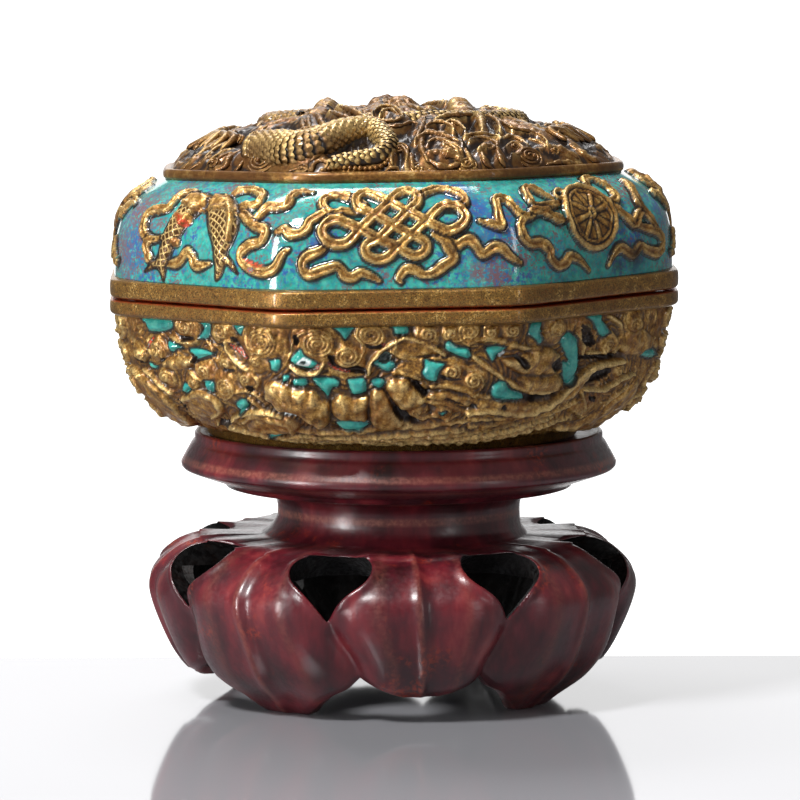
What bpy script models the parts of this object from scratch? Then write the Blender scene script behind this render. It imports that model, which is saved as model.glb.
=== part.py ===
import math

import bpy
import numpy as np
from mathutils import Vector
from mathutils.geometry import delaunay_2d_cdt

# A porcelain seal paste box: an octagonal lid and bowl on a turned and carved wooden stand.
# The origin is the middle of the floor under the stand. +Z is up and -Y is the front face.
# Every length here is in millimetres and is turned into metres once, when a solid is made.

# Driving dimensions

ACROSS_FLATS = 100.0
HALF = ACROSS_FLATS / 2
UNIT = ACROSS_FLATS / 100
FIT_GAP = 0.3
WALL = 3.4
FACES = 8
FACE_ANGLE = 360.0 / FACES
PANEL_APOTHEM = 0.96 * HALF
PANEL = 2 * PANEL_APOTHEM * math.tan(math.radians(FACE_ANGLE / 2))
RIM_SHARPNESS = 40
GLAZE_SHARPNESS = 20

STAND_SEAT = 46.6
RIM_SPLIT = 73.1
RIM_TALL = 3.3
BOX_RIM_TALL = 2.5
RIM_SLOPE = 0.0155
LIP_LEAN = 1.1
LIP_APOTHEM = 40.3
DOME_APOTHEM = LIP_APOTHEM - 1.0 * UNIT
DOME_FOOT = 94.9
DOME_RISE = 8.6

# Levels that follow from them

FOOT_LEVEL = STAND_SEAT + FIT_GAP
BOWL_LOW = FOOT_LEVEL + 2.0 * UNIT
BOWL_HIGH = RIM_SPLIT - BOX_RIM_TALL - 0.1 * UNIT
FLOOR = BOWL_LOW + WALL - 0.3 * UNIT
LID_BOTTOM = RIM_SPLIT + FIT_GAP
BAND_LOW = LID_BOTTOM + RIM_TALL
BAND_HIGH = DOME_FOOT - 1.5 * UNIT
UNDER_DOME = DOME_FOOT + DOME_RISE - WALL - 0.1 * UNIT
LEAN_FROM = BAND_LOW + 0.2 * (BAND_HIGH - BAND_LOW)

# Relief, in drawing units of a hundredth of the width across the flats

RIBBON_SHARE = 1.15
RIBBON_RISE = 1.1
WIDE_SHARE = 3.0
DRAGON_SHARE = 4.6
DRAGON_RISE = 3.2
CLOUD_RISE = 1.6
PANEL_SHARE = PANEL / UNIT

LOBES = 8
LOBE_TURN = 5.3
FOOT_LOBES = (1, 3, 5, 7)
STAND_WALL = 4.6
GROOVE_DEEP = 2.6
WINDOW_WIDE = 14.6
WINDOW_TALL = 14.0
WINDOW_PITCH = 32.0

# Plan shapes: an octagon with rounded corners that can fade into a circle


def octagon(angle, sharpness):
    """The radius of a rounded octagon of apothem 1 at this angle in radians."""
    def total(at):
        return sum(
            max(0.0, math.cos(at - math.radians(FACE_ANGLE * k - 90))) ** sharpness
            for k in range(FACES)
        )
    return (total(angle) / total(math.radians(-90))) ** (-1 / sharpness)


def plan_radius(apothem, angle, squareness, sharpness):
    return apothem * (1 + squareness * (octagon(angle, sharpness) - 1))


def panel_angle(s):
    """The angle around the axis for a length s along the panels, 0 at the middle of the front one."""
    k = round(s / PANEL)
    return math.radians(FACE_ANGLE * k - 90) + math.atan((s - k * PANEL) / PANEL_APOTHEM)


def ring_stations():
    """Lengths along the panels for the columns that all rings of the lid and the bowl share."""
    stations = []
    for k in range(4 - FACES, 4):
        for share in (-0.41, 0.0, 0.41):
            stations.append((k + 1 + share) * PANEL)
    return stations


STATIONS = ring_stations()


def ring(apothem, z, squareness=1.0, sharpness=RIM_SHARPNESS):
    points = []
    for s in STATIONS:
        angle = panel_angle(s)
        r = plan_radius(apothem, angle, squareness, sharpness)
        points.append((r * math.cos(angle), r * math.sin(angle), z))
    return points


# Relief: strokes with a crest, drawn flat, then raised from the curved wall


def wave(start, end, swing, waves, steps):
    """A ribbon's tail: it swings from side to side on its way from start to end."""
    (x0, y0), (x1, y1) = start, end
    length = math.hypot(x1 - x0, y1 - y0)
    nx, ny = -(y1 - y0) / length, (x1 - x0) / length
    path = []
    for i in range(steps + 1):
        t = i / steps
        side = swing * math.sin(2 * math.pi * waves * t) * min(1.0, 3 * t)
        path.append((x0 + (x1 - x0) * t + nx * side, y0 + (y1 - y0) * t + ny * side))
    return path


def arc(centre, rx, ry, start, sweep, steps, tilt=0.0):
    """Part of an ellipse, with angles in degrees."""
    path = []
    for i in range(steps + 1):
        a = math.radians(start + sweep * i / steps)
        x, y = rx * math.cos(a), ry * math.sin(a)
        c, s = math.cos(math.radians(tilt)), math.sin(math.radians(tilt))
        path.append((centre[0] + x * c - y * s, centre[1] + x * s + y * c))
    return path


def spiral(centre, radius, start, turns, steps):
    path = []
    for i in range(steps + 1):
        t = i / steps
        a = math.radians(start) + 2 * math.pi * turns * t
        r = radius * (1 - 0.85 * t)
        path.append((centre[0] + r * math.cos(a), centre[1] + r * math.sin(a)))
    return path


def stroke(path, half, proud, taper=0.0):
    """A raised band along a path. Taper is the share of its width that is lost towards the ends."""
    count = len(path) - 1
    widths = []
    for i in range(count + 1):
        t = abs(2 * i / count - 1)
        widths.append(half * (1 - taper * t ** 2))
    return {"path": [np.array(p, float) for p in path], "half": widths, "proud": proud}


def grown(marks):
    """Strokes drawn in drawing units, turned to millimetres."""
    for mark in marks:
        mark["path"] = [p * UNIT for p in mark["path"]]
        mark["half"] = [w * UNIT for w in mark["half"]]
        mark["proud"] *= UNIT
    return marks


def lines_of(mark):
    """The closed foot line of a stroke, its crest, and two shoulder lines where it is wide."""
    path, count = mark["path"], len(mark["path"])
    offsets = (-1.0, 1.0, -0.6, 0.6) if mark["half"][count // 2] > WIDE_SHARE * UNIT else (-1.0, 1.0)
    lines = {share: [] for share in offsets}
    ways = []
    for i, p in enumerate(path):
        way = path[min(count - 1, i + 1)] - path[max(0, i - 1)]
        way = way / max(np.hypot(*way), 1e-6)
        ways.append(way)
        for share in offsets:
            lines[share].append(p + np.array((-way[1], way[0])) * mark["half"][i] * share)
    foot = lines.pop(-1.0) + lines.pop(1.0)[::-1]
    if np.hypot(*(path[0] - path[-1])) > 0.01:
        foot.insert(count, path[-1] + ways[-1] * mark["half"][-1])
        foot.append(path[0] - ways[0] * mark["half"][0])
        foot.append(foot[0])
        return [foot, path, *lines.values()]
    return [foot[:count], foot[count:], path, *lines.values()]


def height(points, marks):
    """How far the relief stands out at each point: the tallest stroke there wins."""
    points = np.array(points, float)
    found = np.zeros(len(points))
    for mark in marks:
        path = np.array(mark["path"])
        widest = max(mark["half"])
        low, high = path.min(0) - widest, path.max(0) + widest
        near = np.nonzero(((points > low) & (points < high)).all(1))[0]
        for i in range(len(path) - 1):
            a, b = path[i], path[i + 1]
            ab = b - a
            t = np.clip(((points[near] - a) @ ab) / max(ab @ ab, 1e-9), 0, 1)
            gap = np.hypot(*(points[near] - a - t[:, None] * ab).T)
            half = mark["half"][i] + (mark["half"][i + 1] - mark["half"][i]) * t
            rise = mark["proud"] * np.sqrt(np.clip(1.0 - (gap / half) ** 2, 0, 1))
            found[near] = np.maximum(found[near], np.where(rise > 0.2 * mark["proud"], rise, 0.0))
    return found


def sheet(border, loose, marks, inside):
    """Triangles over a flat outline, with the foot and crest lines of every stroke as edges."""
    points = [Vector(p) for p in border]
    edges = [(i, (i + 1) % len(border)) for i in range(len(border))]
    points += [Vector(p) for p in loose]
    for mark in marks:
        for line in lines_of(mark):
            first = len(points)
            points += [Vector(inside(float(p[0]), float(p[1]))) for p in line]
            edges += [(first + i, first + i + 1) for i in range(len(line) - 1)]
    flat, _, faces, _, _, _ = delaunay_2d_cdt(points, edges, [], 0, 0.03 * UNIT)
    return [(p.x, p.y) for p in flat], [tuple(f) for f in faces]


class Solid:
    """Gathers points and faces, and closes rings and sheets that share their border points."""

    def __init__(self):
        self.points = []
        self.faces = []

    def add(self, points):
        first = len(self.points)
        self.points += [tuple(p) for p in points]
        return list(range(first, len(self.points)))

    def loft(self, rings):
        """Joins rings in order, each of the same number of points. Faces look out when it runs upward outside."""
        rows = [self.add(r) for r in rings]
        for low, high in zip(rows, rows[1:]):
            for i in range(len(low)):
                j = (i + 1) % len(low)
                self.faces.append((low[i], low[j], high[j], high[i]))

    def cap(self, points, centre, up):
        row = self.add(points)
        tip = self.add([centre])[0]
        for i in range(len(row)):
            j = (i + 1) % len(row)
            self.faces.append((row[i], row[j], tip) if up else (row[j], row[i], tip))

    def patch(self, points, faces):
        row = self.add(points)
        self.faces += [tuple(row[i] for i in f) for f in faces]

    def make(self, name, colour, rough, metal, change=None):
        points = [change(p) if change else p for p in self.points]
        mesh = bpy.data.meshes.new(name)
        mesh.from_pydata([tuple(c / 1000 for c in p) for p in points], [], self.faces)
        made = bpy.data.objects.new(name, mesh)
        bpy.context.scene.collection.objects.link(made)
        material = bpy.data.materials.new(name)
        material.use_nodes = True
        shader = material.node_tree.nodes["Principled BSDF"]
        shader.inputs["Base Color"].default_value = (*colour, 1)
        shader.inputs["Roughness"].default_value = rough
        shader.inputs["Metallic"].default_value = metal
        mesh.materials.append(material)
        bpy.context.view_layer.objects.active = made
        made.select_set(True)
        bpy.ops.object.mode_set(mode="EDIT")
        bpy.ops.mesh.select_all(action="SELECT")
        bpy.ops.mesh.remove_doubles(threshold=0.00002)
        bpy.ops.mesh.normals_make_consistent(inside=False)
        bpy.ops.mesh.quads_convert_to_tris()
        bpy.ops.object.mode_set(mode="OBJECT")
        made.select_set(False)
        return made


def along(profile, v):
    """The apothem and the height of a profile at a length v along it, with the way it faces."""
    for (r0, z0), (r1, z1) in zip(profile, profile[1:]):
        length = math.hypot(r1 - r0, z1 - z0)
        if v <= length + 1e-6 or (r1, z1) == profile[-1]:
            t = min(1.0, v / length)
            r, z = r0 + (r1 - r0) * t, z0 + (z1 - z0) * t
            return r, z, (z1 - z0) / length, -(r1 - r0) / length
        v -= length


def profile_length(profile):
    return sum(math.hypot(b[0] - a[0], b[1] - a[1]) for a, b in zip(profile, profile[1:]))


def wall(solid, profile, marks, squareness, rows):
    """A wall around the axis that follows a profile and carries the strokes, closed at the back corner."""
    tall = profile_length(profile)
    columns = STATIONS + [STATIONS[0] + FACES * PANEL]
    start, end = columns[0], columns[-1]
    levels = [tall * share for share in rows]
    border = [(s, 0.0) for s in columns]
    border += [(end, v) for v in levels]
    border += [(s, tall) for s in reversed(columns)]
    border += [(start, v) for v in reversed(levels)]
    loose = [(s, v) for s in columns[1:-1] for v in levels]
    rim = 0.5 * UNIT
    def inside(s, v):
        return (min(max(s, start + rim), end - rim), min(max(v, rim), tall - rim))
    flat, faces = sheet(border, loose, marks, inside)
    raised = height(flat, marks)
    points = []
    for (s, v), lift in zip(flat, raised):
        angle = panel_angle(s)
        r, z, out, up = along(profile, v)
        share = squareness(v / tall)
        r = plan_radius(r, angle, share, GLAZE_SHARPNESS)
        if min(v, tall - v, s - start, end - s) < 1e-5:
            lift = 0.0
        sign = 1.0 if profile[-1][1] > profile[0][1] else -1.0
        r += lift * out * sign
        x, y = r * math.cos(angle), r * math.sin(angle)
        most = max(abs(x), abs(y), (abs(x) + abs(y)) * math.sqrt(0.5))
        keep = min(1.0, HALF / most)
        points.append((x * keep, y * keep, z + lift * up * sign))
    solid.patch(points, faces)


# The lid's band: one of the eight symbols on each face, between fluttering ribbons


def knot(s):
    """An endless knot: two crossed sets of three straps, with loops around it and a bow at each side."""
    cx, cy = s - 0.4, 11.3
    ax, ay, bx, by = 3.0, -1.9, -2.8, -2.6
    marks = []
    for n in (-1, 0, 1):
        for ux, uy, wx, wy in ((ax, ay, bx, by), (bx, by, ax, ay)):
            ends = []
            for far in (-1.5, 1.5):
                ends.append((cx + wx * n + ux * far, cy + wy * n + uy * far))
            marks.append(stroke(ends, RIBBON_SHARE, RIBBON_RISE))
    loops = ((-9.2, 10.4), (-4.2, 16.6), (2.6, 17.0), (9.4, 12.4), (-2.6, 6.8), (3.2, 7.0))
    for x, y in loops:
        marks.append(stroke(arc((s + x, y), 2.0, 1.7, 0, 360, 5), 1.0, RIBBON_RISE))
    for side in (-1, 1):
        marks.append(stroke(arc((s + side * 11.4, 16.6), 3.0, 2.0, 90 - side * 60, 240 * side, 5), 0.9, 0.9))
    return marks


def fish(s):
    """Two fish hung side by side, heads together and tails apart."""
    marks = []
    for side, lean in ((-1, 4.6), (1, 2.2)):
        body = [(s + side * (1.6 + lean * t * t), 17.2 - 13.0 * t) for t in (0, 0.25, 0.5, 0.75, 1)]
        marks.append(stroke(body, 2.7, 1.3, 0.45))
        tail = body[-1]
        for fork in (-1.8, 1.8):
            marks.append(stroke([tail, (tail[0] + fork, tail[1] - 3.0)], 1.2, 1.0, 0.3))
    for side in (-1, 1):
        marks.append(stroke(arc((s + side * 7.6, 16.8), 2.6, 1.6, 90 - side * 90, 270 * side, 5), 0.8, 0.9))
    return marks


def wheel(s):
    """A wheel with a rim, a hub and eight spokes."""
    marks = [stroke(arc((s, 11.2), 5.2, 5.4, 0, 360, 10), 1.0, 1.0)]
    for n in range(4):
        a = math.radians(45 * n + 10)
        x, y = 4.6 * math.cos(a), 4.8 * math.sin(a)
        marks.append(stroke([(s - x, 11.2 - y), (s + x, 11.2 + y)], 0.7, 0.9))
    return marks


def parasol(s):
    """A domed parasol on a pole, with a fringe."""
    marks = [stroke(arc((s, 12.0), 5.4, 4.6, 180, -180, 6), 1.6, 1.2)]
    marks.append(stroke([(s - 6.0, 11.6), (s + 6.0, 11.6)], 1.1, 1.2))
    marks.append(stroke([(s, 12.0), (s, 2.6)], 0.9, 1.0))
    for x in (-4.0, 4.0):
        marks.append(stroke([(s + x, 11.0), (s + x * 1.1, 7.6)], 0.9, 0.9))
    return marks


def conch(s):
    """A conch shell: a fat whorl, a narrow foot and a pointed crown."""
    marks = [stroke([(s, 16.8), (s, 12.6), (s + 0.4, 8.6), (s + 0.8, 3.0)], 3.8, 1.4, 0.75)]
    marks.append(stroke(arc((s - 0.4, 12.8), 3.9, 2.4, 200, 160, 5), 0.8, 1.3))
    return marks


def vase(s):
    """A covered vase on a foot."""
    marks = [stroke([(s, 16.4), (s, 12.4), (s, 8.4), (s, 5.0)], 4.0, 1.4, 0.6)]
    marks.append(stroke([(s - 3.2, 3.4), (s + 3.2, 3.4)], 1.1, 1.2))
    marks.append(stroke([(s - 2.4, 16.8), (s + 2.4, 16.8)], 0.9, 1.2))
    return marks


def lotus(s):
    """An open lotus: petals fanned above a short stalk."""
    marks = []
    for n in range(-2, 3):
        a = math.radians(90 - 34 * n)
        tip = (s + 6.6 * math.cos(a), 8.6 + 6.8 * math.sin(a))
        root = (s + 1.2 * math.cos(a), 8.6 + 1.2 * math.sin(a))
        middle = ((tip[0] + root[0]) / 2, (tip[1] + root[1]) / 2)
        marks.append(stroke([root, middle, tip], 1.9, 1.3, 0.6))
    marks.append(stroke([(s, 8.0), (s, 2.4)], 0.9, 1.0))
    return marks


def banner(s):
    """A victory banner: a tall cylinder of cloth in three tiers."""
    marks = [stroke([(s, 17.2), (s, 4.0)], 2.8, 1.2)]
    for y in (5.0, 9.0, 13.0):
        marks.append(stroke([(s - 3.8, y), (s + 3.8, y)], 1.0, 1.3))
    return marks


def tails(s, reach):
    """The four ribbon tails that run from a symbol towards its neighbours and over the corners."""
    marks = []
    for side in (-1, 1):
        near, far = s + side * 9.0, s + side * reach
        marks.append(stroke(wave((near, 13.0), (far, 13.0), 1.8 * side, 0.8, 3), 0.95, 0.8, 0.2))
        marks.append(stroke(wave((near, 6.0), (far - side * 1.5, 4.2), 1.6 * side, 0.8, 3), 0.95, 0.8, 0.2))
    return marks


def band_marks():
    marks = []
    order = {0: knot, 1: wheel, 2: conch, 3: vase, 4: parasol, -1: fish, -2: lotus, -3: banner}
    for k in range(4 - FACES + 1, 4):
        marks += order[k](k * PANEL_SHARE)
        marks += tails(k * PANEL_SHARE, 18.6)
    marks += order[4](4 * PANEL_SHARE)
    marks += tails(4 * PANEL_SHARE, 18.6)
    return grown(marks)


# The dome: two scaled dragons coiled among clouds


def dome_share(x, y):
    """How far out a point of the dome lies: 0 at the axis and 1 at its border."""
    angle = math.atan2(y, x)
    return math.hypot(x, y) / plan_radius(DOME_APOTHEM, angle, 1.0, GLAZE_SHARPNESS)


def dome_inside(x, y):
    keep = min(1.0, 0.95 / max(dome_share(x, y), 1e-6))
    return (x * keep, y * keep)


def dome_point(x, y, lift):
    share = min(1.0, dome_share(x, y))
    lift = lift * min(1.0, 12 * (1 - share))
    z = DOME_FOOT + DOME_RISE * max(0.0, 1 - share ** 2) ** 0.7
    spread = 1 + 0.47 * lift / DOME_APOTHEM * share
    return (x * spread, y * spread, z + lift * (1 - 0.35 * share))


def dragon(turn):
    """A dragon's body in three coils, its head, two legs with claws, turned about the axis."""
    c, s = math.cos(math.radians(turn)), math.sin(math.radians(turn))
    def turned(path):
        return [(x * c - y * s, x * s + y * c) for x, y in path]
    marks = []
    body = arc((-11.0, -17.0), 14.5, 9.5, 160, 215, 8, 20)
    marks.append(stroke(turned(body), DRAGON_SHARE, DRAGON_RISE, 0.25))
    back = arc((-2.0, 3.0), 17.0, 9.5, 185, -160, 6, 8)
    marks.append(stroke(turned(back), DRAGON_SHARE * 0.8, DRAGON_RISE * 0.95, 0.45))
    head = [(8.5, -31.0), (5.0, -27.0), (1.0, -22.5)]
    marks.append(stroke(turned(head), 4.2, 4.6, 0.2))
    for x, y, way in ((-28.0, -14.0, 195), (-13.0, -30.0, 265)):
        a = math.radians(way)
        paw = (x + 4.5 * math.cos(a), y + 4.5 * math.sin(a))
        marks.append(stroke(turned([(x, y), paw]), 2.2, 2.8, 0.2))
        for fan in (-26, 26):
            b = math.radians(way + fan)
            claw = (paw[0] + 3.6 * math.cos(b), paw[1] + 3.6 * math.sin(b))
            marks.append(stroke(turned([paw, claw]), 0.9, 2.2, 0.3))
    return marks


def dome_marks():
    marks = dragon(0) + dragon(180)
    for x, y, proud in ((-12.0, 2.5, 4.2), (-1.0, 3.0, 3.9), (17.5, 0.0, 3.2)):
        marks.append(stroke([(x - 2.0, y), (x + 2.0, y + 1.0)], 3.6, proud))
    for n in range(8):
        a = math.radians(45 * n + 12)
        centre = (32.4 * math.cos(a), 32.4 * math.sin(a))
        marks.append(stroke(spiral(centre, 3.4, 45 * n, 1.0, 5), 1.2, CLOUD_RISE))
    return grown(marks)


def lean(point):
    """The rims slope a little up to the right of the level foot, and the lip stands highest at the front."""
    x, y, z = point
    risen = min(1.0, max(0.0, (z - BOWL_LOW) / (0.82 * (BOWL_HIGH - BOWL_LOW))))
    share = min(1.0, max(0.0, (z - LEAN_FROM) / (DOME_FOOT - LEAN_FROM)))
    return (x, y, z + RIM_SLOPE * risen * x - LIP_LEAN * share * y / LIP_APOTHEM)


# The bowl's relief: a beast's face, clouds and waves


def boss(centre, half, proud):
    """A low round mound, the size of one curled cloud."""
    x, y = centre
    return stroke([(x - 0.3 * half, y), (x + 0.3 * half, y)], half, proud)


def bowl_marks():
    marks = []
    rows = ((3.2, 2.6, 3, 0.5), (9.6, 2.8, 2, 0.0), (16.0, 2.8, 2, 0.5))
    for k in range(4 - FACES + 1, 5):
        for level, size, count, shift in rows:
            for n in range(count):
                s = (k - 0.5 + (n + 0.4 + 0.4 * shift) / count) * PANEL_SHARE
                if face_clear(s, level):
                    marks.append(boss((s, level), size, 1.3))
        start, end = (k - 0.42) * PANEL_SHARE, (k + 0.42) * PANEL_SHARE
        marks.append(stroke(wave((start, 21.4), (end, 21.4), 0.9, 1.0, 4), 1.4, 1.2))
    for k in (0, 4):
        marks += beast(k * PANEL_SHARE - 10.0)
    return grown(marks)


def face_clear(s, level):
    """Whether a cloud here stays off the two beast faces."""
    for k in (0, 4):
        if abs(s - (k * PANEL_SHARE - 10.0)) < 17.0 and level > 1.0:
            return False
    return True


def beast(s):
    """A beast's face: two round eyes under brows, a snout and a beard of broad lobes below the teeth."""
    marks = []
    for side in (-1, 1):
        eye = (s + side * 7.6, 5.6)
        marks.append(stroke(arc(eye, 2.6, 1.9, 0, 360, 6), 1.1, 1.3))
        brow = arc((s + side * 7.4, 5.2), 4.6, 3.4, 200 if side < 0 else -20, 140 * -side, 4)
        marks.append(stroke(brow, 1.0, 1.0, 0.3))
        marks.append(stroke(wave((s + side * 11.5, 8.0), (s + side * 15.6, 2.4), 1.0, 1.0, 4), 1.3, 1.3, 0.4))
    marks.append(stroke(arc((s, 2.0), 4.4, 4.6, 30, 120, 4), 1.4, 1.5, 0.2))
    for n in range(-2, 3):
        x = s + 5.4 * n
        low = 19.2 - 1.1 * abs(n) ** 1.6
        marks.append(stroke([(x * 0.2 + s * 0.8, 9.6), (x, (9.6 + low) / 2), (x, low)], 2.6, 1.8, 0.35))
    return marks


# Start from an empty scene

for old in list(bpy.data.objects):
    bpy.data.objects.remove(old)

# Lid

BAND_SHARES = ((0.0, 0.0), (0.011, 0.233), (0.054, 0.443), (0.141, 0.611),
               (0.293, 0.736), (0.533, 0.85), (0.804, 0.94), (1.0, 1.0))
lid_inner = HALF - WALL - 0.2 * UNIT
band_out, band_in = HALF - 0.7 * UNIT, LIP_APOTHEM - 0.2 * UNIT
band_tall = BAND_HIGH - BAND_LOW
band = [(band_out + (band_in - band_out) * r, BAND_LOW + band_tall * z) for r, z in BAND_SHARES]
under = UNDER_DOME - DOME_FOOT
lid = Solid()
inside = [
    ring(0.4 * LIP_APOTHEM, DOME_FOOT + 0.9 * under, 0.2),
    ring(0.67 * LIP_APOTHEM, DOME_FOOT + 0.57 * under, 0.5),
    ring(LIP_APOTHEM - 4.3 * UNIT, BAND_HIGH, 0.8),
    ring(band[5][0] - 1.8 * UNIT, band[5][1] - 0.8 * WALL),
    ring(lid_inner - 0.4 * UNIT, BAND_LOW + 0.317 * band_tall),
    ring(lid_inner, LID_BOTTOM),
    ring(HALF - 0.6 * UNIT, LID_BOTTOM),
    ring(HALF, LID_BOTTOM + 0.7 * UNIT),
    ring(HALF, BAND_LOW - 0.5 * UNIT),
    ring(HALF - 0.3 * UNIT, BAND_LOW),
    ring(band[0][0], band[0][1], 1.0, GLAZE_SHARPNESS),
]
lid.loft(inside)
lid.cap(inside[0], (0, 0, UNDER_DOME), False)
wall(lid, band, band_marks(), lambda t: 1.0, (0.42, 0.74))
dome_border = [p[:2] for p in ring(DOME_APOTHEM, DOME_FOOT, 1.0, GLAZE_SHARPNESS)]
lip = [
    ring(band[-1][0], band[-1][1], 1.0, GLAZE_SHARPNESS),
    ring(LIP_APOTHEM + 0.3 * UNIT, BAND_HIGH + 0.1 * UNIT, 1.0, GLAZE_SHARPNESS),
    ring(LIP_APOTHEM + 0.4 * UNIT, DOME_FOOT - 0.3 * UNIT, 1.0, GLAZE_SHARPNESS),
    ring(LIP_APOTHEM - 0.2 * UNIT, DOME_FOOT + 0.2 * UNIT, 1.0, GLAZE_SHARPNESS),
    [(x, y, DOME_FOOT) for x, y in dome_border],
]
lid.loft(lip)
dragons = dome_marks()
loose = [(0.0, 0.0)]
for share in (0.4, 0.7, 0.92):
    count = 16 if share > 0.5 else 8
    for n in range(count):
        a = 2 * math.pi * n / count
        r = plan_radius(DOME_APOTHEM * share, a, 1.0, GLAZE_SHARPNESS)
        loose.append((r * math.cos(a), r * math.sin(a)))
flat, faces = sheet(dome_border, loose, dragons, dome_inside)
raised = height(flat, dragons)
border_keys = {(round(x, 3), round(y, 3)) for x, y in dome_border}
dome = []
for (x, y), lift in zip(flat, raised):
    if (round(x, 3), round(y, 3)) in border_keys:
        dome.append((x, y, DOME_FOOT))
    else:
        dome.append(dome_point(x, y, lift))
lid.patch(dome, faces)
lid.make("lid", (0.42, 0.27, 0.09), 0.35, 0.8, lean)

# Box: the bowl with its rim, the collar inside the lid, and the foot ring

BOWL_SHARES = ((0.668, 0.0), (0.748, 0.053), (0.816, 0.149), (0.872, 0.284), (0.908, 0.413),
               (0.928, 0.558), (0.94, 0.702), (0.952, 0.846), (0.964, 1.0))
bowl = [(HALF * r, BOWL_LOW + (BOWL_HIGH - BOWL_LOW) * z) for r, z in BOWL_SHARES]
bowl_tall = profile_length(bowl)
recess = FOOT_LEVEL + 1.1 * UNIT
box = Solid()
foot = [
    ring(0.58 * HALF, recess, 0.0),
    ring(0.604 * HALF, FOOT_LEVEL, 0.0),
    ring(0.656 * HALF, FOOT_LEVEL, 0.0),
    ring(0.666 * HALF, FOOT_LEVEL + 0.8 * UNIT, 0.0),
    ring(bowl[0][0], bowl[0][1], 0.0),
]
box.cap(foot[0], (0, 0, recess), False)
box.loft(foot)


def upside(marks):
    """Strokes drawn down from the rim, turned to lengths up from the foot."""
    for mark in marks:
        mark["path"] = [np.array((p[0], bowl_tall - p[1])) for p in mark["path"]]
    return marks


wall(box, bowl, upside(bowl_marks()), lambda t: min(1.0, 0.15 + 1.15 * t) if t > 0 else 0.0, (0.3, 0.65))
collar_out = lid_inner - FIT_GAP
collar_in = collar_out - 1.8 * UNIT
collar_top = RIM_SPLIT + 1.9 * UNIT
well = RIM_SPLIT - FLOOR
top = [
    ring(bowl[-1][0], bowl[-1][1], 1.0, GLAZE_SHARPNESS),
    ring(HALF - 0.5 * UNIT, BOWL_HIGH + 0.1 * UNIT),
    ring(HALF, BOWL_HIGH + 0.7 * UNIT),
    ring(HALF, RIM_SPLIT - 0.7 * UNIT),
    ring(HALF - 0.6 * UNIT, RIM_SPLIT),
    ring(collar_out, RIM_SPLIT),
    ring(collar_out, collar_top),
    ring(collar_in, collar_top),
    ring(bowl[-1][0] - WALL - 2.0 * UNIT, FLOOR + 0.38 * well),
    ring(0.76 * HALF, FLOOR + 0.14 * well, 0.7),
    ring(0.58 * HALF, FLOOR + 0.01 * well, 0.3),
]
box.loft(top)
box.cap(top[-1], (0, 0, FLOOR), True)
box.make("box", (0.4, 0.26, 0.09), 0.4, 0.8, lean)

# Stand: a turned dish on a neck over a hollow base of eight lobes, four of them drawn down to feet

RISE = STAND_SEAT / 46.6
OUTER_LINE = ((31.9, 0.0), (34.0, 2.6), (36.7, 4.6), (39.4, 7.7), (41.4, 11.6), (43.4, 16.6),
              (44.2, 20.1), (43.4, 23.0), (40.8, 25.8), (36.8, 28.3), (31.0, 29.2))
TURNED_LINE = ((23.9, 28.9), (21.7, 31.0), (21.6, 34.8), (22.8, 36.4), (31.5, 38.0), (38.6, 41.0),
               (38.9, 41.8), (36.8, 45.8), (36.3, 47.5), (35.2, 47.5), (34.9, 46.6))
OUTER = [(r * UNIT, z * RISE) for r, z in OUTER_LINE]
TURNED = [(r * UNIT, z * RISE) for r, z in TURNED_LINE]
DISH_SHIFT = 1.1 * UNIT
CEILING = OUTER[-1][1] - STAND_WALL - 0.4 * RISE
LOBE_PHASES = (0.0, 0.26, 0.66, 1.0, -0.66, -0.26)
STEPS_PER_LOBE = len(LOBE_PHASES)
COLUMNS = LOBES * STEPS_PER_LOBE


def at_height(profile, z):
    return float(np.interp(z, [p[1] for p in profile], [p[0] for p in profile]))


def lobe_phase(column):
    """0 at a lobe's sharp middle ridge and 1 at the grooves beside it, with the lobe's number."""
    step = column % STEPS_PER_LOBE
    lobe = column // STEPS_PER_LOBE + (1 if step > STEPS_PER_LOBE // 2 else 0)
    return LOBE_PHASES[step], lobe


def column_angle(column):
    phase, lobe = lobe_phase(column)
    return math.radians(-90 + LOBE_TURN + (lobe + phase / 2) * 360 / LOBES)


def lobe_dent(phase):
    """How far the wall falls in from the full radius across a lobe."""
    return float(np.interp(phase, (0.0, 0.26, 0.6, 1.0), (0.0, 0.35, 0.19, 1.0))) * GROOVE_DEEP


def bottom_edge(phase, lobe):
    if lobe in FOOT_LOBES:
        return float(np.interp(phase, (0.0, 0.27, 0.66, 1.0), (0.0, 0.0, 5.2, 8.2))) * RISE
    return float(np.interp(phase, (0.0, 0.26, 0.66, 1.0), (4.3, 4.5, 6.0, 8.2))) * RISE


def stand_ring(share, wall_in):
    """A ring around the lobes, at a share of the way up from the bottom edge to the shoulder."""
    points = []
    for column in range(COLUMNS):
        phase, lobe = lobe_phase(column)
        phase, lobe = abs(phase), lobe % LOBES
        low = bottom_edge(phase, lobe)
        high = OUTER[-1][1] if wall_in == 0 else CEILING
        z = low + (high - low) * share
        fade = 1.0 - 0.75 * max(0.0, share - 0.8) / 0.2 if wall_in == 0 else 1.0
        r = at_height(OUTER, min(z, OUTER[-1][1] - 0.6 * RISE) if wall_in == 0 else min(z, 20.0 * RISE))
        if wall_in == 0 and share == 1.0:
            r = OUTER[-1][0]
        r -= lobe_dent(phase) * fade + wall_in * min(1.0, 0.8 + share)
        a = column_angle(column)
        points.append((r * math.cos(a), r * math.sin(a), z))
    return points


def turned_ring(r, z):
    """A plain ring of half as many points, each used twice. The neck and dish sit a little to the right."""
    points = []
    shift = DISH_SHIFT * min(1.0, max(0.0, z / RISE - 28.0) / 4.0)
    for column in range(COLUMNS):
        a = math.radians(-90 + LOBE_TURN + 360 * (column - column % 2) / COLUMNS)
        points.append((r * math.cos(a) + shift, r * math.sin(a), z))
    return points


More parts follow.
